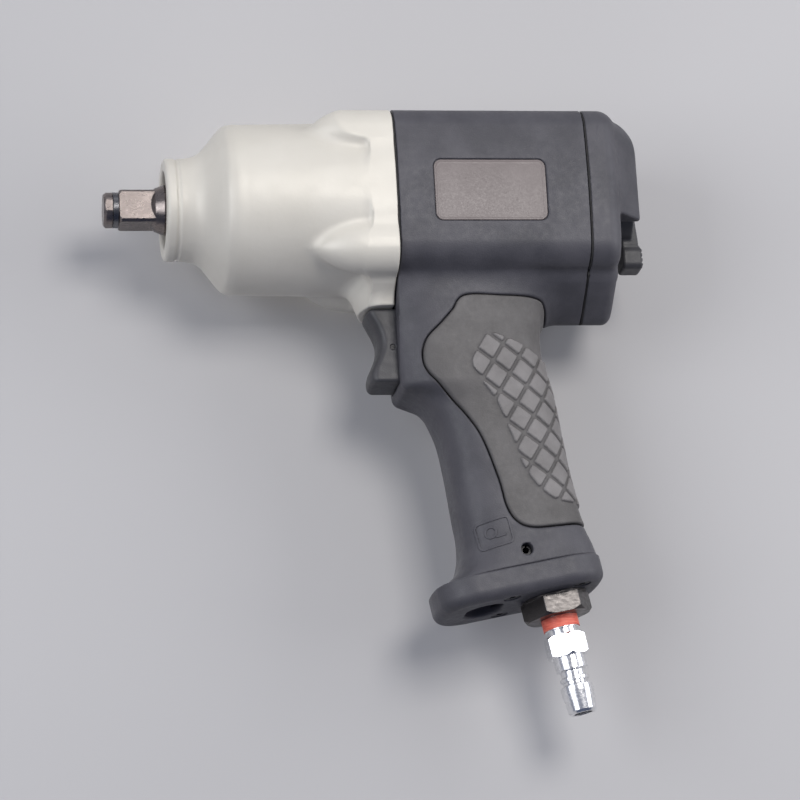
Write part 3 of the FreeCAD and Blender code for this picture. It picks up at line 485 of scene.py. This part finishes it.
def pad_height(x, y, z):
    """How far the raised diamonds stand out of the grip."""
    u, w, middle, a, b = handle_parts(x, y, z)
    angle = np.arctan2(np.abs(y) / b, (u - middle) / a)
    s = middle + np.interp(angle, QUARTER, PATH) * a
    across, down = (s - PAD_PLACE[0]) / PAD_STEP[0] / 2, (PAD_PLACE[1] - w) / PAD_STEP[1] / 2
    p, q = down + across, down - across
    p, q = (p - np.round(p)) * PAD_WIDTH, (q - np.round(q)) * PAD_WIDTH
    half = (PAD_WIDTH - PAD_GAP) / 2
    pad = corner(plane_box(p, q, half, half, 0.8), PAD_AREA(s, w), 1.2)
    return PAD_RISE * ramp(-pad, -0.25, 0.55)


def paint_pad_highlights(mesh, material):
    """Gives the raised faces of the diamonds a lighter copy of the grip rubber: a painted highlight where they catch
    the light.
    """
    centres = np.empty(len(mesh.polygons) * 3, np.float32)
    mesh.polygons.foreach_get("center", centres)
    x, y, z = centres.reshape(-1, 3).T.astype(float) / MM
    # faces high on the diamonds, which get the painted highlight
    highlight_faces = pad_height(x, y, z) > 0.6 * PAD_RISE
    mesh.materials.append(material)
    mesh.polygons.foreach_set("material_index", highlight_faces.astype(np.int32))


def grip_field(x, y, z):
    outer = body_outer(x, y, z)
    face = outer - 0.45
    near = (outer > -1.5) & (outer < 2.5)
    if near.any():
        face = face.copy()
        face[near] -= pad_height(x[near], y[near], z[near])
    edge = GRIP_OUTLINE(x, z)
    solid = corner(face, edge, 0.9)
    solid = soft_max(solid, -(outer + 2.0), 0.4)
    clear = np.maximum(plane_box(x - 112, y, 9.0, 14.0, 1.0), between(z, -90, -30))
    return without(solid, clear, 0.4)


# ---------------------------------------------------------------- hammer case
CASE_R = Curve((NOSE_X, 19.5), (26.0, 19.5), (31.0, 19.6), (34.2, 20.4), (36.8, 22.2), (39.4, 25.2), (42.6, 29.2),
               (44.6, 31.2), (47.0, 32.1), (52.0, 32.3), (70.0, 32.6), (84.0, 32.9), (CASE_X1, 33.0))


def boss_solid(x, y, z, centre):
    """Four bolt bosses whose front ends are blunt rounded tips."""
    r = np.hypot(np.abs(y) - centre, np.abs(z) - centre)
    ahead = np.maximum(95.0 - x, 0) / 19.0
    return (np.power(ahead**1.6 + (r / 9.9) ** 1.6, 1 / 1.6) - 1) * 9.9


def case_field(x, y, z):
    rho = np.hypot(y, z)
    wall = CASE_R(x)
    slope = (CASE_R(x + 0.3) - CASE_R(x - 0.3)) / 0.6
    barrel = (rho - wall) / np.sqrt(1 + slope**2)
    groove = np.hypot(x - 27.2, rho - 19.9) - 0.95
    barrel = without(barrel, groove, 0.3)
    centre = BOLT_OFFSET + 0.3
    boss = boss_solid(x, y, z, centre)
    flange = np.maximum(body_round(y, z, BODY_HALF - 0.3), (98.0 - x) * 0.6)
    solid = soft_min(barrel, boss, 2.6)
    solid = soft_min(solid, flange, 2.6)
    slopes = np.maximum(np.maximum(deep_section(y, z), z + 24.0), (98.0 - x) * 0.8)
    solid = soft_min(solid, slopes, 4.0)
    front = 94.8 + 6.0 * np.minimum(np.abs(y) / 12.0, 1.4) ** 2 - (z + 41.9) * 0.39
    chin = corner((front - x) * 0.8, np.abs(y) - 12.0, 1.0)
    chin = np.maximum(chin, z + 26.0)
    solid = soft_min(solid, chin, 4.0)
    solid = corner(solid, -41.9 - z, 0.5)
    limit = body_round(y, np.maximum(z, -12.0)) - 0.6 * ramp(-z, 4.0, 20.0)
    solid = corner(solid, limit, 0.4)
    solid = corner(solid, NOSE_X - x, 1.6)
    solid = corner(solid, x - CASE_X1, 0.5)
    bores = [
        np.maximum(rho - 14.5, x - 28.5),
        rho - 12.72,
        np.maximum(rho - np.interp(x, [50, 54], [22.0, 28.2]), 50.0 - x),
        np.maximum(bolt_lines(x, y, z, 2.52), 84.0 - x),
    ]
    for bore, soft in zip(bores, (1.2, 0.2, 0.4, 0.2)):
        solid = without(solid, bore, soft)
    return solid


# ---------------------------------------------------------------- rear cover, dial, trigger, deflector
HOOD_HALF = Curve((186, 30.5), (190, 29.2), (192.5, 27.2), (196, 23.8), (199.4, 20.4), (HOOD_X1 + 1, 16.8))
HOOD_TOP = Curve((186, 29.2), (192.5, 28.9), (197, 28.3), (199.4, 27.3), (201, 25.9), (HOOD_X1 + 1, 22.4))


def cover_field(x, y, z):
    edge_r = 4.4 + 1.6 * ramp(z, -34, -24)
    base = corner(deep_section(y, z), x - COVER_X1, edge_r)
    base = corner(base, COVER_X0 - x, 0.35)
    half, top = HOOD_HALF(x), HOOD_TOP(x)
    hood = plane_box(y, z - (top - 40), half, 40.0, 8.0) * 0.8
    hood = corner(hood, -10.2 - z, 1.0)
    hood = corner(hood, x - HOOD_X1, 1.3)
    hood = np.maximum(hood, 186.0 - x)
    solid = soft_min(base, hood, 1.6)
    floor = COVER_X1 - 0.4 - x
    opening = np.minimum(np.hypot(y, z) - 15.4, np.maximum(np.abs(y) - 15.4, z))
    cuts = [
        (np.maximum(opening, floor), 0.8),
        (np.maximum(np.hypot(y, z) - 22, x - 183), 0.4),
        (np.maximum(np.hypot(y, z) - 9.06, x - 188.7), 0.3),
        (np.hypot(y, z) - 4.06, 0.3),
        (np.maximum(np.hypot(y, z - 13) - 1.6, between(x, 186.4, 199)), 0.3),
        (np.maximum(bolt_lines(x, y, z, 2.7), x - COVER_X1 + 5.0), 0.3),
        (np.maximum(np.maximum(bolt_lines(x, y, z, 4.4), COVER_X1 - 6.6 - x), z), 0.5),
    ]
    for cut, soft in cuts:
        solid = without(solid, cut, soft)
    return solid


def lever_field(x, y, z):
    """Dial with a raised finger bar that ends in a ribbed tab."""
    x0 = DIAL_LOW[0]
    rho = np.hypot(y, z)
    dial = corner(rho - 14.9, between(x, x0, x0 + 8.0), 0.9)
    dish = np.maximum(np.abs(rho - 11.0) - 1.6, x0 + 7.2 - x)
    dial = without(dial, dish, 0.8)
    top = x0 + 9.6 - 0.085 * (z + 2)
    bar = corner(plane_box(y, z + 4.0, 5.2, 14.0, 3.0), between(x, x0 + 4.0, top), 1.0)
    tab = corner(plane_box(y, z + 20.75, 5.8, 4.35, 2.4), between(x, x0 + 4.0, DIAL_HIGH[0]), 1.2)
    ribs = corner(np.abs(((z + 20.75) / 2.0 + 0.5) % 1.0 - 0.5) * 2.0 - 0.35, DIAL_HIGH[0] - 0.5 - x, 0.1)
    tab = without(tab, np.maximum(ribs, np.abs(z + 20.75) - 3.4), 0.4)
    solid = soft_min(soft_min(dial, bar, 1.0), tab, 1.2)
    dot = np.maximum(np.hypot(y, z - 7.6) - 0.9, x0 + 8.6 - x)
    keyed = np.maximum(np.maximum(rho - 4.02, z - 3.0), x - x0 - 5.0)
    head = np.maximum(rho - 4.2, x0 + 7.0 - x)
    track = np.maximum(np.maximum(np.abs(rho - 12.9) - 1.3, x - x0 - 0.8), 5.0 - z)
    for cut in (dot, keyed, head, track, rho - 2.1):
        solid = without(solid, cut, 0.3)
    return solid


TRIGGER_FACE = Curve((-72.6, 98.6), (-70.9, 97.6), (-69.0, 97.0), (-66.2, 97.3), (-62.6, 98.9), (-58.2, 100.6),
                     (-53.6, 100.9), (-49.0, 99.5), (-45.6, 97.8), (-43.6, 96.9), (-42.4, 96.8), (-40, 97.6))


def trigger_field(x, y, z):
    side = np.abs(y) / 9.5
    front = TRIGGER_FACE(z) + 1.4 * np.clip(side, 0, 1.2) ** 3 - x
    sides = np.abs(y) - 9.5
    solid = corner(corner(front, sides, 1.8), between(z, TRIGGER_LOW[2], TRIGGER_HIGH[2]), 1.3)
    solid = corner(solid, x - TRIGGER_HIGH[0], 0.4)
    rod_hole = np.maximum(np.hypot(y, z - TRIGGER_Z) - 2.52, 102.0 - x)
    pin_hole = np.hypot(x - 106.0, z - TRIGGER_Z) - 1.02
    return without(without(solid, rod_hole, 0.2), pin_hole, 0.3)


def deflector_field(x, y, z):
    u, w = to_handle(x, z)
    bow = 2.4 * np.clip(np.abs(y) / 20.5, 0, 1) ** 2
    plan = plane_box(u + 13.1, y, 31.9 - bow, 20.5, 12.0)
    solid = corner(plan, -w, 4.0)
    solid = corner(solid, w - DEFLECTOR_T + 0.02, 0.7)
    cuts = [
        (np.hypot(u, y) - 10.62, 0.3),
        (np.maximum(plane_box(u + 18.5, y, 5.0, 9.0, 4.9), 3.0 - w), 0.4),
        (np.maximum(plane_box(u + 27.0, y, 7.0, 9.0, 6.5), w - 4.0), 1.2),
        (np.hypot(u + 18.5, np.abs(y) - 13.5) - 1.7, 0.2),
        (np.hypot(u - 8.5, np.abs(y) - 12.8) - 1.7, 0.2),
        (np.maximum(np.hypot(u + 18.5, np.abs(y) - 13.5) - 3.2, w - 3.0), 0.4),
        (np.maximum(np.hypot(u - 8.5, np.abs(y) - 12.8) - 3.2, w - 3.0), 0.4),
    ]
    for cut, soft in cuts:
        solid = without(solid, cut, soft)
    return solid


def nameplate_field(x, y, z):
    """A thin curved plate with a fine raised border."""
    outline = plate_pocket(x, y, z, 0.0)
    face = body_round(y, z) + 0.28
    border = np.abs(outline + 1.1) - 0.35
    face = face - 0.04 * ramp(-border, -0.15, 0.3)
    plate = corner(face, outline, 0.25)
    return np.maximum(np.maximum(plate, -(body_round(y, z) + 0.74)), y)


def emblem_field(x, y, z):
    u, w = to_handle(x, z)
    outer = body_outer(x, y, z)
    mark = corner(emblem_marks(u, w), outer - 0.3, 0.15)
    return np.maximum(np.maximum(mark, -(outer + 0.4)), y)


# ---------------------------------------------------------------- materials
class Nodes:
    """A short way to write a node material whose pattern lies in millimetres."""

    def __init__(self, name):
        self.material = bpy.data.materials.new(name)
        self.material.use_nodes = True
        self.tree = self.material.node_tree
        self.bsdf = self.tree.nodes["Principled BSDF"]
        place = self.tree.nodes.new("ShaderNodeTexCoord")
        scale = self.tree.nodes.new("ShaderNodeVectorMath")
        scale.operation = "SCALE"
        scale.inputs["Scale"].default_value = 1 / MM
        self.link(place.outputs["Object"], scale.inputs[0])
        self.place = scale.outputs[0]

    def link(self, a, b):
        self.tree.links.new(a, b)

    def noise(self, size, detail=3.0, stretch=None):
        node = self.tree.nodes.new("ShaderNodeTexNoise")
        node.inputs["Scale"].default_value = 1 / size
        node.inputs["Detail"].default_value = detail
        source = self.place
        if stretch:
            mapping = self.tree.nodes.new("ShaderNodeMapping")
            mapping.inputs["Scale"].default_value = stretch
            self.link(source, mapping.inputs[0])
            source = mapping.outputs[0]
        self.link(source, node.inputs["Vector"])
        return node.outputs["Fac"]

    def cells(self, size):
        node = self.tree.nodes.new("ShaderNodeTexVoronoi")
        node.inputs["Scale"].default_value = 1 / size
        self.link(self.place, node.inputs["Vector"])
        return node.outputs["Distance"]

    def range(self, value, low, high, from_low=0.3, from_high=0.7):
        node = self.tree.nodes.new("ShaderNodeMapRange")
        node.inputs["From Min"].default_value = from_low
        node.inputs["From Max"].default_value = from_high
        node.inputs["To Min"].default_value = low
        node.inputs["To Max"].default_value = high
        self.link(value, node.inputs["Value"])
        return node.outputs["Result"]

    def mix(self, value, a, b):
        node = self.tree.nodes.new("ShaderNodeMix")
        node.data_type = "RGBA"
        self.link(value, node.inputs["Factor"])
        for socket, colour in ((6, a), (7, b)):
            if isinstance(colour, tuple):
                node.inputs[socket].default_value = (*colour, 1)
            else:
                self.link(colour, node.inputs[socket])
        return node.outputs[2]

    def math(self, operation, a, b):
        node = self.tree.nodes.new("ShaderNodeMath")
        node.operation = operation
        for socket, value in ((0, a), (1, b)):
            if isinstance(value, (int, float)):
                node.inputs[socket].default_value = value
            else:
                self.link(value, node.inputs[socket])
        return node.outputs[0]

    def edges(self, radius):
        """The rounded normal of a Bevel node, which softens sharp outer edges in the shading."""
        bevel = self.tree.nodes.new("ShaderNodeBevel")
        bevel.samples = 4
        bevel.inputs["Radius"].default_value = radius * MM
        return bevel.outputs[0]

    def bump(self, height, depth, base=None):
        """Bump whose full height is depth millimetres."""
        node = self.tree.nodes.new("ShaderNodeBump")
        node.inputs["Distance"].default_value = depth * MM
        self.link(height, node.inputs["Height"])
        if base is not None:
            self.link(base, node.inputs["Normal"])
        self.link(node.outputs[0], self.bsdf.inputs["Normal"])
        return node.outputs[0]

    def set(self, **values):
        for key, value in values.items():
            socket = self.bsdf.inputs[key.replace("_", " ")]
            if isinstance(value, (int, float)):
                socket.default_value = value
            elif isinstance(value, tuple):
                socket.default_value = (*value, 1)
            else:
                self.link(value, socket)
        return self


def composite(name, dark=(0.050, 0.049, 0.058), light=(0.073, 0.071, 0.082), rough=(0.46, 0.58)):
    """Glass-filled nylon: charcoal, finely spark-textured, with slight cloudiness."""
    n = Nodes(name)
    cloud = n.noise(14.0, 4.0)
    grain = n.noise(0.42, 2.0)
    n.set(Base_Color=n.mix(n.range(n.math("ADD", cloud, n.math("MULTIPLY", grain, 0.25)), 0, 1, 0.45, 0.75), dark, light))
    n.set(Roughness=n.range(n.noise(2.2, 3.0), *rough))
    n.set(Specular_IOR_Level=0.42)
    height = n.math("ADD", n.noise(0.38, 2.0), n.math("MULTIPLY", n.cells(0.55), 0.5))
    n.bump(height, 0.05)
    return n.material


def grip_rubber(name, tone_and_sheen):
    """Soft overmould: a warmer grey than the body, matt, with a fine leathery grain. The second argument scales its
    lightness; the much lighter copy laid on the diamonds is a painted highlight.
    """
    n = Nodes(name)
    cloud = n.noise(10.0, 4.0)
    dark, light = (tuple(c * tone_and_sheen for c in colour) for colour in ((0.070, 0.066, 0.065), (0.098, 0.093, 0.092)))
    n.set(Base_Color=n.mix(n.range(cloud, 0, 1), dark, light))
    n.set(Roughness=n.range(n.noise(1.6, 3.0), 0.52, 0.68))
    n.set(Specular_IOR_Level=0.40)
    height = n.math("ADD", n.cells(0.7), n.math("MULTIPLY", n.noise(0.3, 2.0), 0.7))
    n.bump(height, 0.045)
    return n.material


def case_paint():
    """Satin champagne-silver paint over a casting: faint orange peel and metallic flake."""
    n = Nodes("case_paint")
    flake = n.noise(0.12, 0.0)
    cloud = n.noise(22.0, 3.0)
    base = n.mix(n.range(cloud, 0, 1), (0.60, 0.57, 0.505), (0.65, 0.62, 0.555))
    n.set(Base_Color=n.mix(n.range(flake, 0.0, 0.16, 0.5, 0.8), base, (0.74, 0.72, 0.68)))
    n.set(Metallic=0.14, Roughness=n.range(n.noise(5.0, 3.0), 0.48, 0.56), Coat_Weight=0.06, Coat_Roughness=0.40)
    height = n.math("ADD", n.noise(1.7, 2.0), n.math("MULTIPLY", n.noise(0.5, 1.0), 0.25))
    n.bump(height, 0.035)
    return n.material


def steel(name, colour, rough, metallic=1.0, grain=(1.0, 1.0, 1.0), wear=0.0, worn=(0.45, 0.43, 0.41)):
    """Turned or ground steel. grain stretches its fine lines, wear lightens patches."""
    n = Nodes(name)
    lines = n.noise(0.35, 3.0, grain)
    dark = tuple(c * 0.82 for c in colour)
    base = n.mix(n.range(lines, 0, 1), dark, colour)
    if wear:
        patches = n.range(n.noise(2.6, 5.0), 0.0, wear, 0.52, 0.66)
        base = n.mix(patches, base, worn)
    n.set(Base_Color=base, Metallic=metallic, Roughness=n.range(n.noise(1.1, 4.0, grain), rough * 0.75, rough * 1.25))
    n.bump(lines, 0.012, n.edges(0.25))
    return n.material


def plate_film():
    """Blank printed label: taupe, satin, very slightly mottled."""
    n = Nodes("plate_film")
    cloud = n.noise(9.0, 3.0)
    n.set(Base_Color=n.mix(n.range(cloud, 0, 1), (0.132, 0.108, 0.106), (0.156, 0.130, 0.127)))
    n.set(Roughness=n.range(n.noise(0.8, 3.0), 0.36, 0.46), Specular_IOR_Level=0.5)
    n.bump(n.noise(0.25, 2.0), 0.012)
    return n.material


def plain(name, a, b, size, rough, depth, specular=0.4):
    """Cork-like, felt-like or rubbery stuff: two tones, a grain size and a bump depth."""
    n = Nodes(name)
    n.set(Base_Color=n.mix(n.range(n.noise(size * 3, 4.0), 0, 1), a, b))
    n.set(Roughness=rough, Specular_IOR_Level=specular)
    n.bump(n.noise(size, 3.0), depth)
    return n.material


def tape_film():
    """Wound sealing tape: orange-red with edges of overlapping turns."""
    n = Nodes("tape_film")
    n.set(Base_Color=n.mix(n.range(n.noise(1.2, 4.0, (0.3, 0.3, 3.0)), 0, 1), (0.62, 0.075, 0.045), (0.85, 0.20, 0.13)))
    n.set(Roughness=0.45, Specular_IOR_Level=0.5)
    n.bump(n.noise(0.9, 3.0, (0.25, 0.25, 2.6)), 0.16)
    return n.material


def chrome():
    """Bright nickel plate with fine turning lines and a few dull spots."""
    n = Nodes("chrome")
    n.set(Base_Color=n.mix(n.range(n.noise(1.5, 4.0), 0, 1), (0.78, 0.78, 0.79), (0.90, 0.90, 0.91)))
    n.set(Metallic=1.0, Roughness=n.range(n.noise(1.2, 4.0), 0.17, 0.30))
    n.bump(n.noise(0.5, 2.0), 0.006, n.edges(0.2))
    return n.material


# ---------------------------------------------------------------- the pieces
def moulded_pieces():
    body = composite("composite_body")
    dark = composite("composite_dark", (0.035, 0.035, 0.039), (0.052, 0.051, 0.056), (0.42, 0.52))
    case = case_paint()
    low = np.array([HOUSING_X0, -34.0, -152.5])
    high = np.array([185.0, 34.0, 34.0])
    piece("body_shell", skin("body_shell", housing_field, low, high, 0.62), "housing", body, "composite", "motor_housing")
    grip = skin("soft_grip", grip_field, (112, -23, -131), (183, 23, -40), 0.42)
    piece("soft_grip", grip, "housing", grip_rubber("grip_rubber", 1.25), "grip_rubber", "grip_sleeve")
    # the raised diamond faces get a lighter copy of the grip rubber (2.2 against 1.25): a painted highlight
    paint_pad_highlights(grip, grip_rubber("pad_rubber_painted_highlight", 2.2))
    shell = skin("cast_case", case_field, (NOSE_X, -34, -43), (CASE_X1, 34, 34), 0.6)
    piece("cast_case", shell, "housing", case, "cast_case", "hammer_case")
    cover = skin("end_cover", cover_field, (COVER_X0, -34, -48), (HOOD_X1, 34, 34), 0.5)
    piece("end_cover", cover, "housing", body, "composite", "rear_cover", "bolt_caps")
    base = skin("base_plate", deflector_field, *deflector_box(), 0.45)
    piece("base_plate", base, "housing", body, "composite", "exhaust_deflector")
    lever = skin("dial", lever_field, DIAL_LOW, DIAL_HIGH, 0.34)
    piece("dial", lever, "reverse_lever", dark, "composite", "reverse_lever")
    finger = skin("finger_trigger", trigger_field, TRIGGER_LOW, TRIGGER_HIGH, 0.4)
    piece("finger_trigger", finger, "trigger", dark, "composite", "trigger")
    plate = skin("label_plate", nameplate_field, PLATE_LOW - 0.5, PLATE_HIGH + 0.5, 0.2)
    piece("label_plate", plate, "housing", plate_film(), "plate", "nameplate")
    x, z = from_handle(EMBLEM_U, EMBLEM_W)
    mark = skin("moulded_mark", emblem_field, (x - 8, -22, z - 7), (x + 8, -6, z + 7), 0.2)
    piece("moulded_mark", mark, "housing", body, "composite")


def deflector_box():
    low, high = box_mm("exhaust_deflector")
    return low, high


def repaint(material, *nodes):
    """Gives CAD nodes a new material."""
    for name in nodes:
        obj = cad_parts[name]
        obj.data.materials.clear()
        obj.data.materials.append(material)


def steel_pieces():
    repaint(steel("drive_steel", (0.23, 0.20, 0.19), 0.30, grain=(0.35, 1.0, 1.0), wear=0.18, worn=(0.42, 0.36, 0.34)), "anvil")
    repaint(steel("spring_steel", (0.17, 0.17, 0.18), 0.3), "friction_ring", "throttle_spring", "detent_spring")
    bright = steel("bright_steel", (0.55, 0.55, 0.57), 0.26)
    repaint(bright, "thrust_washer", "hammer_cage", "hammer_pins", "front_hammer", "rear_hammer", "rotor")
    repaint(bright, "cylinder_dowel", "front_bearing_outer", "rear_bearing_outer", "front_bearing_inner")
    repaint(bright, "rear_bearing_inner", "front_bearing_balls", "rear_bearing_balls", "detent_ball", "trigger_rod")
    repaint(bright, "throttle_poppet")
    repaint(steel("grey_iron", (0.30, 0.30, 0.31), 0.45), "front_end_plate", "cylinder_liner", "rear_end_plate")
    black = steel("black_oxide", (0.030, 0.029, 0.031), 0.48, 0.25, wear=0.2, worn=(0.07, 0.066, 0.066))
    repaint(black, "inlet_lock_pin", "case_bolts", "bolt_washers", "deflector_screws", "lever_screw", "trigger_pin")
    repaint(steel("dark_nickel", (0.105, 0.098, 0.096), 0.36, grain=(0.4, 0.4, 1.0)), "inlet_bushing")
    brass = steel("brass", (0.72, 0.54, 0.26), 0.28)
    repaint(brass, "throttle_bushing", "inlet_screen", "reverse_valve")
    repaint(steel("bronze", (0.50, 0.34, 0.18), 0.35), "anvil_bushing")
    repaint(chrome(), "quick_plug")
    repaint(tape_film(), "thread_tape")


def soft_pieces():
    sheet = plain("gasket_sheet", (0.012, 0.012, 0.013), (0.022, 0.021, 0.021), 0.5, 0.8, 0.05)
    repaint(sheet, "front_gasket", "rear_gasket")
    rubber = plain("seal_rubber", (0.012, 0.012, 0.012), (0.020, 0.020, 0.020), 0.4, 0.55, 0.02)
    repaint(rubber, "nose_seal", "friction_cushion", "valve_seal", "rod_seal", "inlet_seal")
    repaint(plain("felt", (0.10, 0.10, 0.095), (0.17, 0.165, 0.155), 0.35, 0.95, 0.3, 0.1), "exhaust_felt")
    repaint(plain("vane_laminate", (0.10, 0.05, 0.02), (0.16, 0.09, 0.04), 0.6, 0.5, 0.03), "rotor_vanes")


# ---------------------------------------------------------------- stage
VIEW_YAW = math.radians(9.2)
VIEW_RISE = math.radians(-16.5)
VIEW_ROLL = math.radians(0.5)
VIEW_DISTANCE = 1312.5
VIEW_CENTRE = np.array([109.08, 0.0, -75.38])
SENSOR = 36.0
LENS = SENSOR * 3500.0 / 800.0


def make_camera():
    """The tool seen from its left, from a little ahead and below."""
    cy, sy = math.cos(VIEW_YAW), math.sin(VIEW_YAW)
    cr, sr = math.cos(VIEW_RISE), math.sin(VIEW_RISE)
    forward = Vector((sy, cr * cy, -sr * cy)).normalized()
    right = Vector((cy, -cr * sy, sr * sy)).normalized()
    up = right.cross(forward)
    right, up = (right * math.cos(VIEW_ROLL) - up * math.sin(VIEW_ROLL),
                 up * math.cos(VIEW_ROLL) + right * math.sin(VIEW_ROLL))
    data = bpy.data.cameras.new("camera")
    data.sensor_width = SENSOR
    data.lens = LENS
    camera = bpy.data.objects.new("camera", data)
    bpy.context.scene.collection.objects.link(camera)
    place = (Vector(VIEW_CENTRE) - forward * VIEW_DISTANCE) * MM
    turn = Matrix((right, up, -forward)).transposed().to_4x4()
    camera.matrix_world = Matrix.Translation(place) @ turn
    bpy.context.scene.camera = camera


def floor_material():
    """Plain pale grey from the front. Clear from behind, and to light, so that rear views see the tool."""
    n = Nodes("pale_floor")
    n.set(Base_Color=n.mix(n.range(n.noise(300.0, 2.0), 0, 1), (0.455, 0.448, 0.452), (0.485, 0.478, 0.482)))
    n.set(Roughness=0.75, Specular_IOR_Level=0.2)
    tree = n.tree
    side = tree.nodes.new("ShaderNodeNewGeometry")
    clear = tree.nodes.new("ShaderNodeBsdfTransparent")
    mix = tree.nodes.new("ShaderNodeMixShader")
    out = tree.nodes["Material Output"]
    path = tree.nodes.new("ShaderNodeLightPath")
    n.link(n.math("MAXIMUM", side.outputs["Backfacing"], path.outputs["Is Shadow Ray"]), mix.inputs[0])
    n.link(n.bsdf.outputs[0], mix.inputs[1])
    n.link(clear.outputs[0], mix.inputs[2])
    n.link(mix.outputs[0], out.inputs["Surface"])
    return n.material


def make_floor():
    """The surface that the tool lies on, on its right side."""
    y = 34.5
    corners = np.array([(-1600, y, -1600), (1800, y, -1600), (1800, y, 1500), (-1600, y, 1500)], float)
    mesh = mesh_from("floor", corners, np.array([[0, 1, 2, 3]]))
    mesh.materials.append(floor_material())
    floor = bpy.data.objects.new("floor", mesh)
    bpy.context.scene.collection.objects.link(floor)


def area_light(name, place, target, size, watts, colour):
    data = bpy.data.lights.new(name, "AREA")
    data.shape = "RECTANGLE"
    data.size, data.size_y = size[0] * MM, size[1] * MM
    data.energy = watts
    data.color = colour
    light = bpy.data.objects.new(name, data)
    bpy.context.scene.collection.objects.link(light)
    light.location = Vector(place) * MM
    light.rotation_mode = "QUATERNION"
    light.rotation_quaternion = (Vector(target) - Vector(place)).to_track_quat("-Z", "Y")


def make_lights():
    centre = (110, 0, -60)
    area_light("key", (400, -1150, 230), centre, (460, 460), 7.6, (1.0, 0.97, 0.93))
    area_light("left", (-850, -850, -40), centre, (700, 800), 8.0, (0.95, 0.97, 1.0))
    area_light("right", (1050, -480, 60), centre, (500, 800), 4.6, (0.98, 0.985, 1.0))
    area_light("top", (100, -500, 900), centre, (900, 400), 0.8, (1.0, 0.99, 0.97))
    area_light("back", (250, 900, 300), centre, (900, 700), 9.0, (1.0, 1.0, 1.0))
    world = bpy.data.worlds.new("studio")
    world.use_nodes = True
    tree = world.node_tree
    shade = tree.nodes["Background"]
    place = tree.nodes.new("ShaderNodeTexCoord")
    split = tree.nodes.new("ShaderNodeSeparateXYZ")
    fade = tree.nodes.new("ShaderNodeValToRGB")
    rise = tree.nodes.new("ShaderNodeMapRange")
    rise.inputs["From Min"].default_value = -0.7
    rise.inputs["From Max"].default_value = 0.5
    fade.color_ramp.elements[0].color = (0.16, 0.19, 0.30, 1)
    fade.color_ramp.elements[1].color = (0.62, 0.65, 0.76, 1)
    tree.links.new(place.outputs["Generated"], split.inputs[0])
    tree.links.new(split.outputs["Z"], rise.inputs["Value"])
    tree.links.new(rise.outputs[0], fade.inputs[0])
    tree.links.new(fade.outputs[0], shade.inputs["Color"])
    shade.inputs["Strength"].default_value = 0.55
    bpy.context.scene.world = world


moulded_pieces()
steel_pieces()
soft_pieces()
make_camera()
make_floor()
make_lights()
bpy.context.scene.view_settings.view_transform = "Standard"
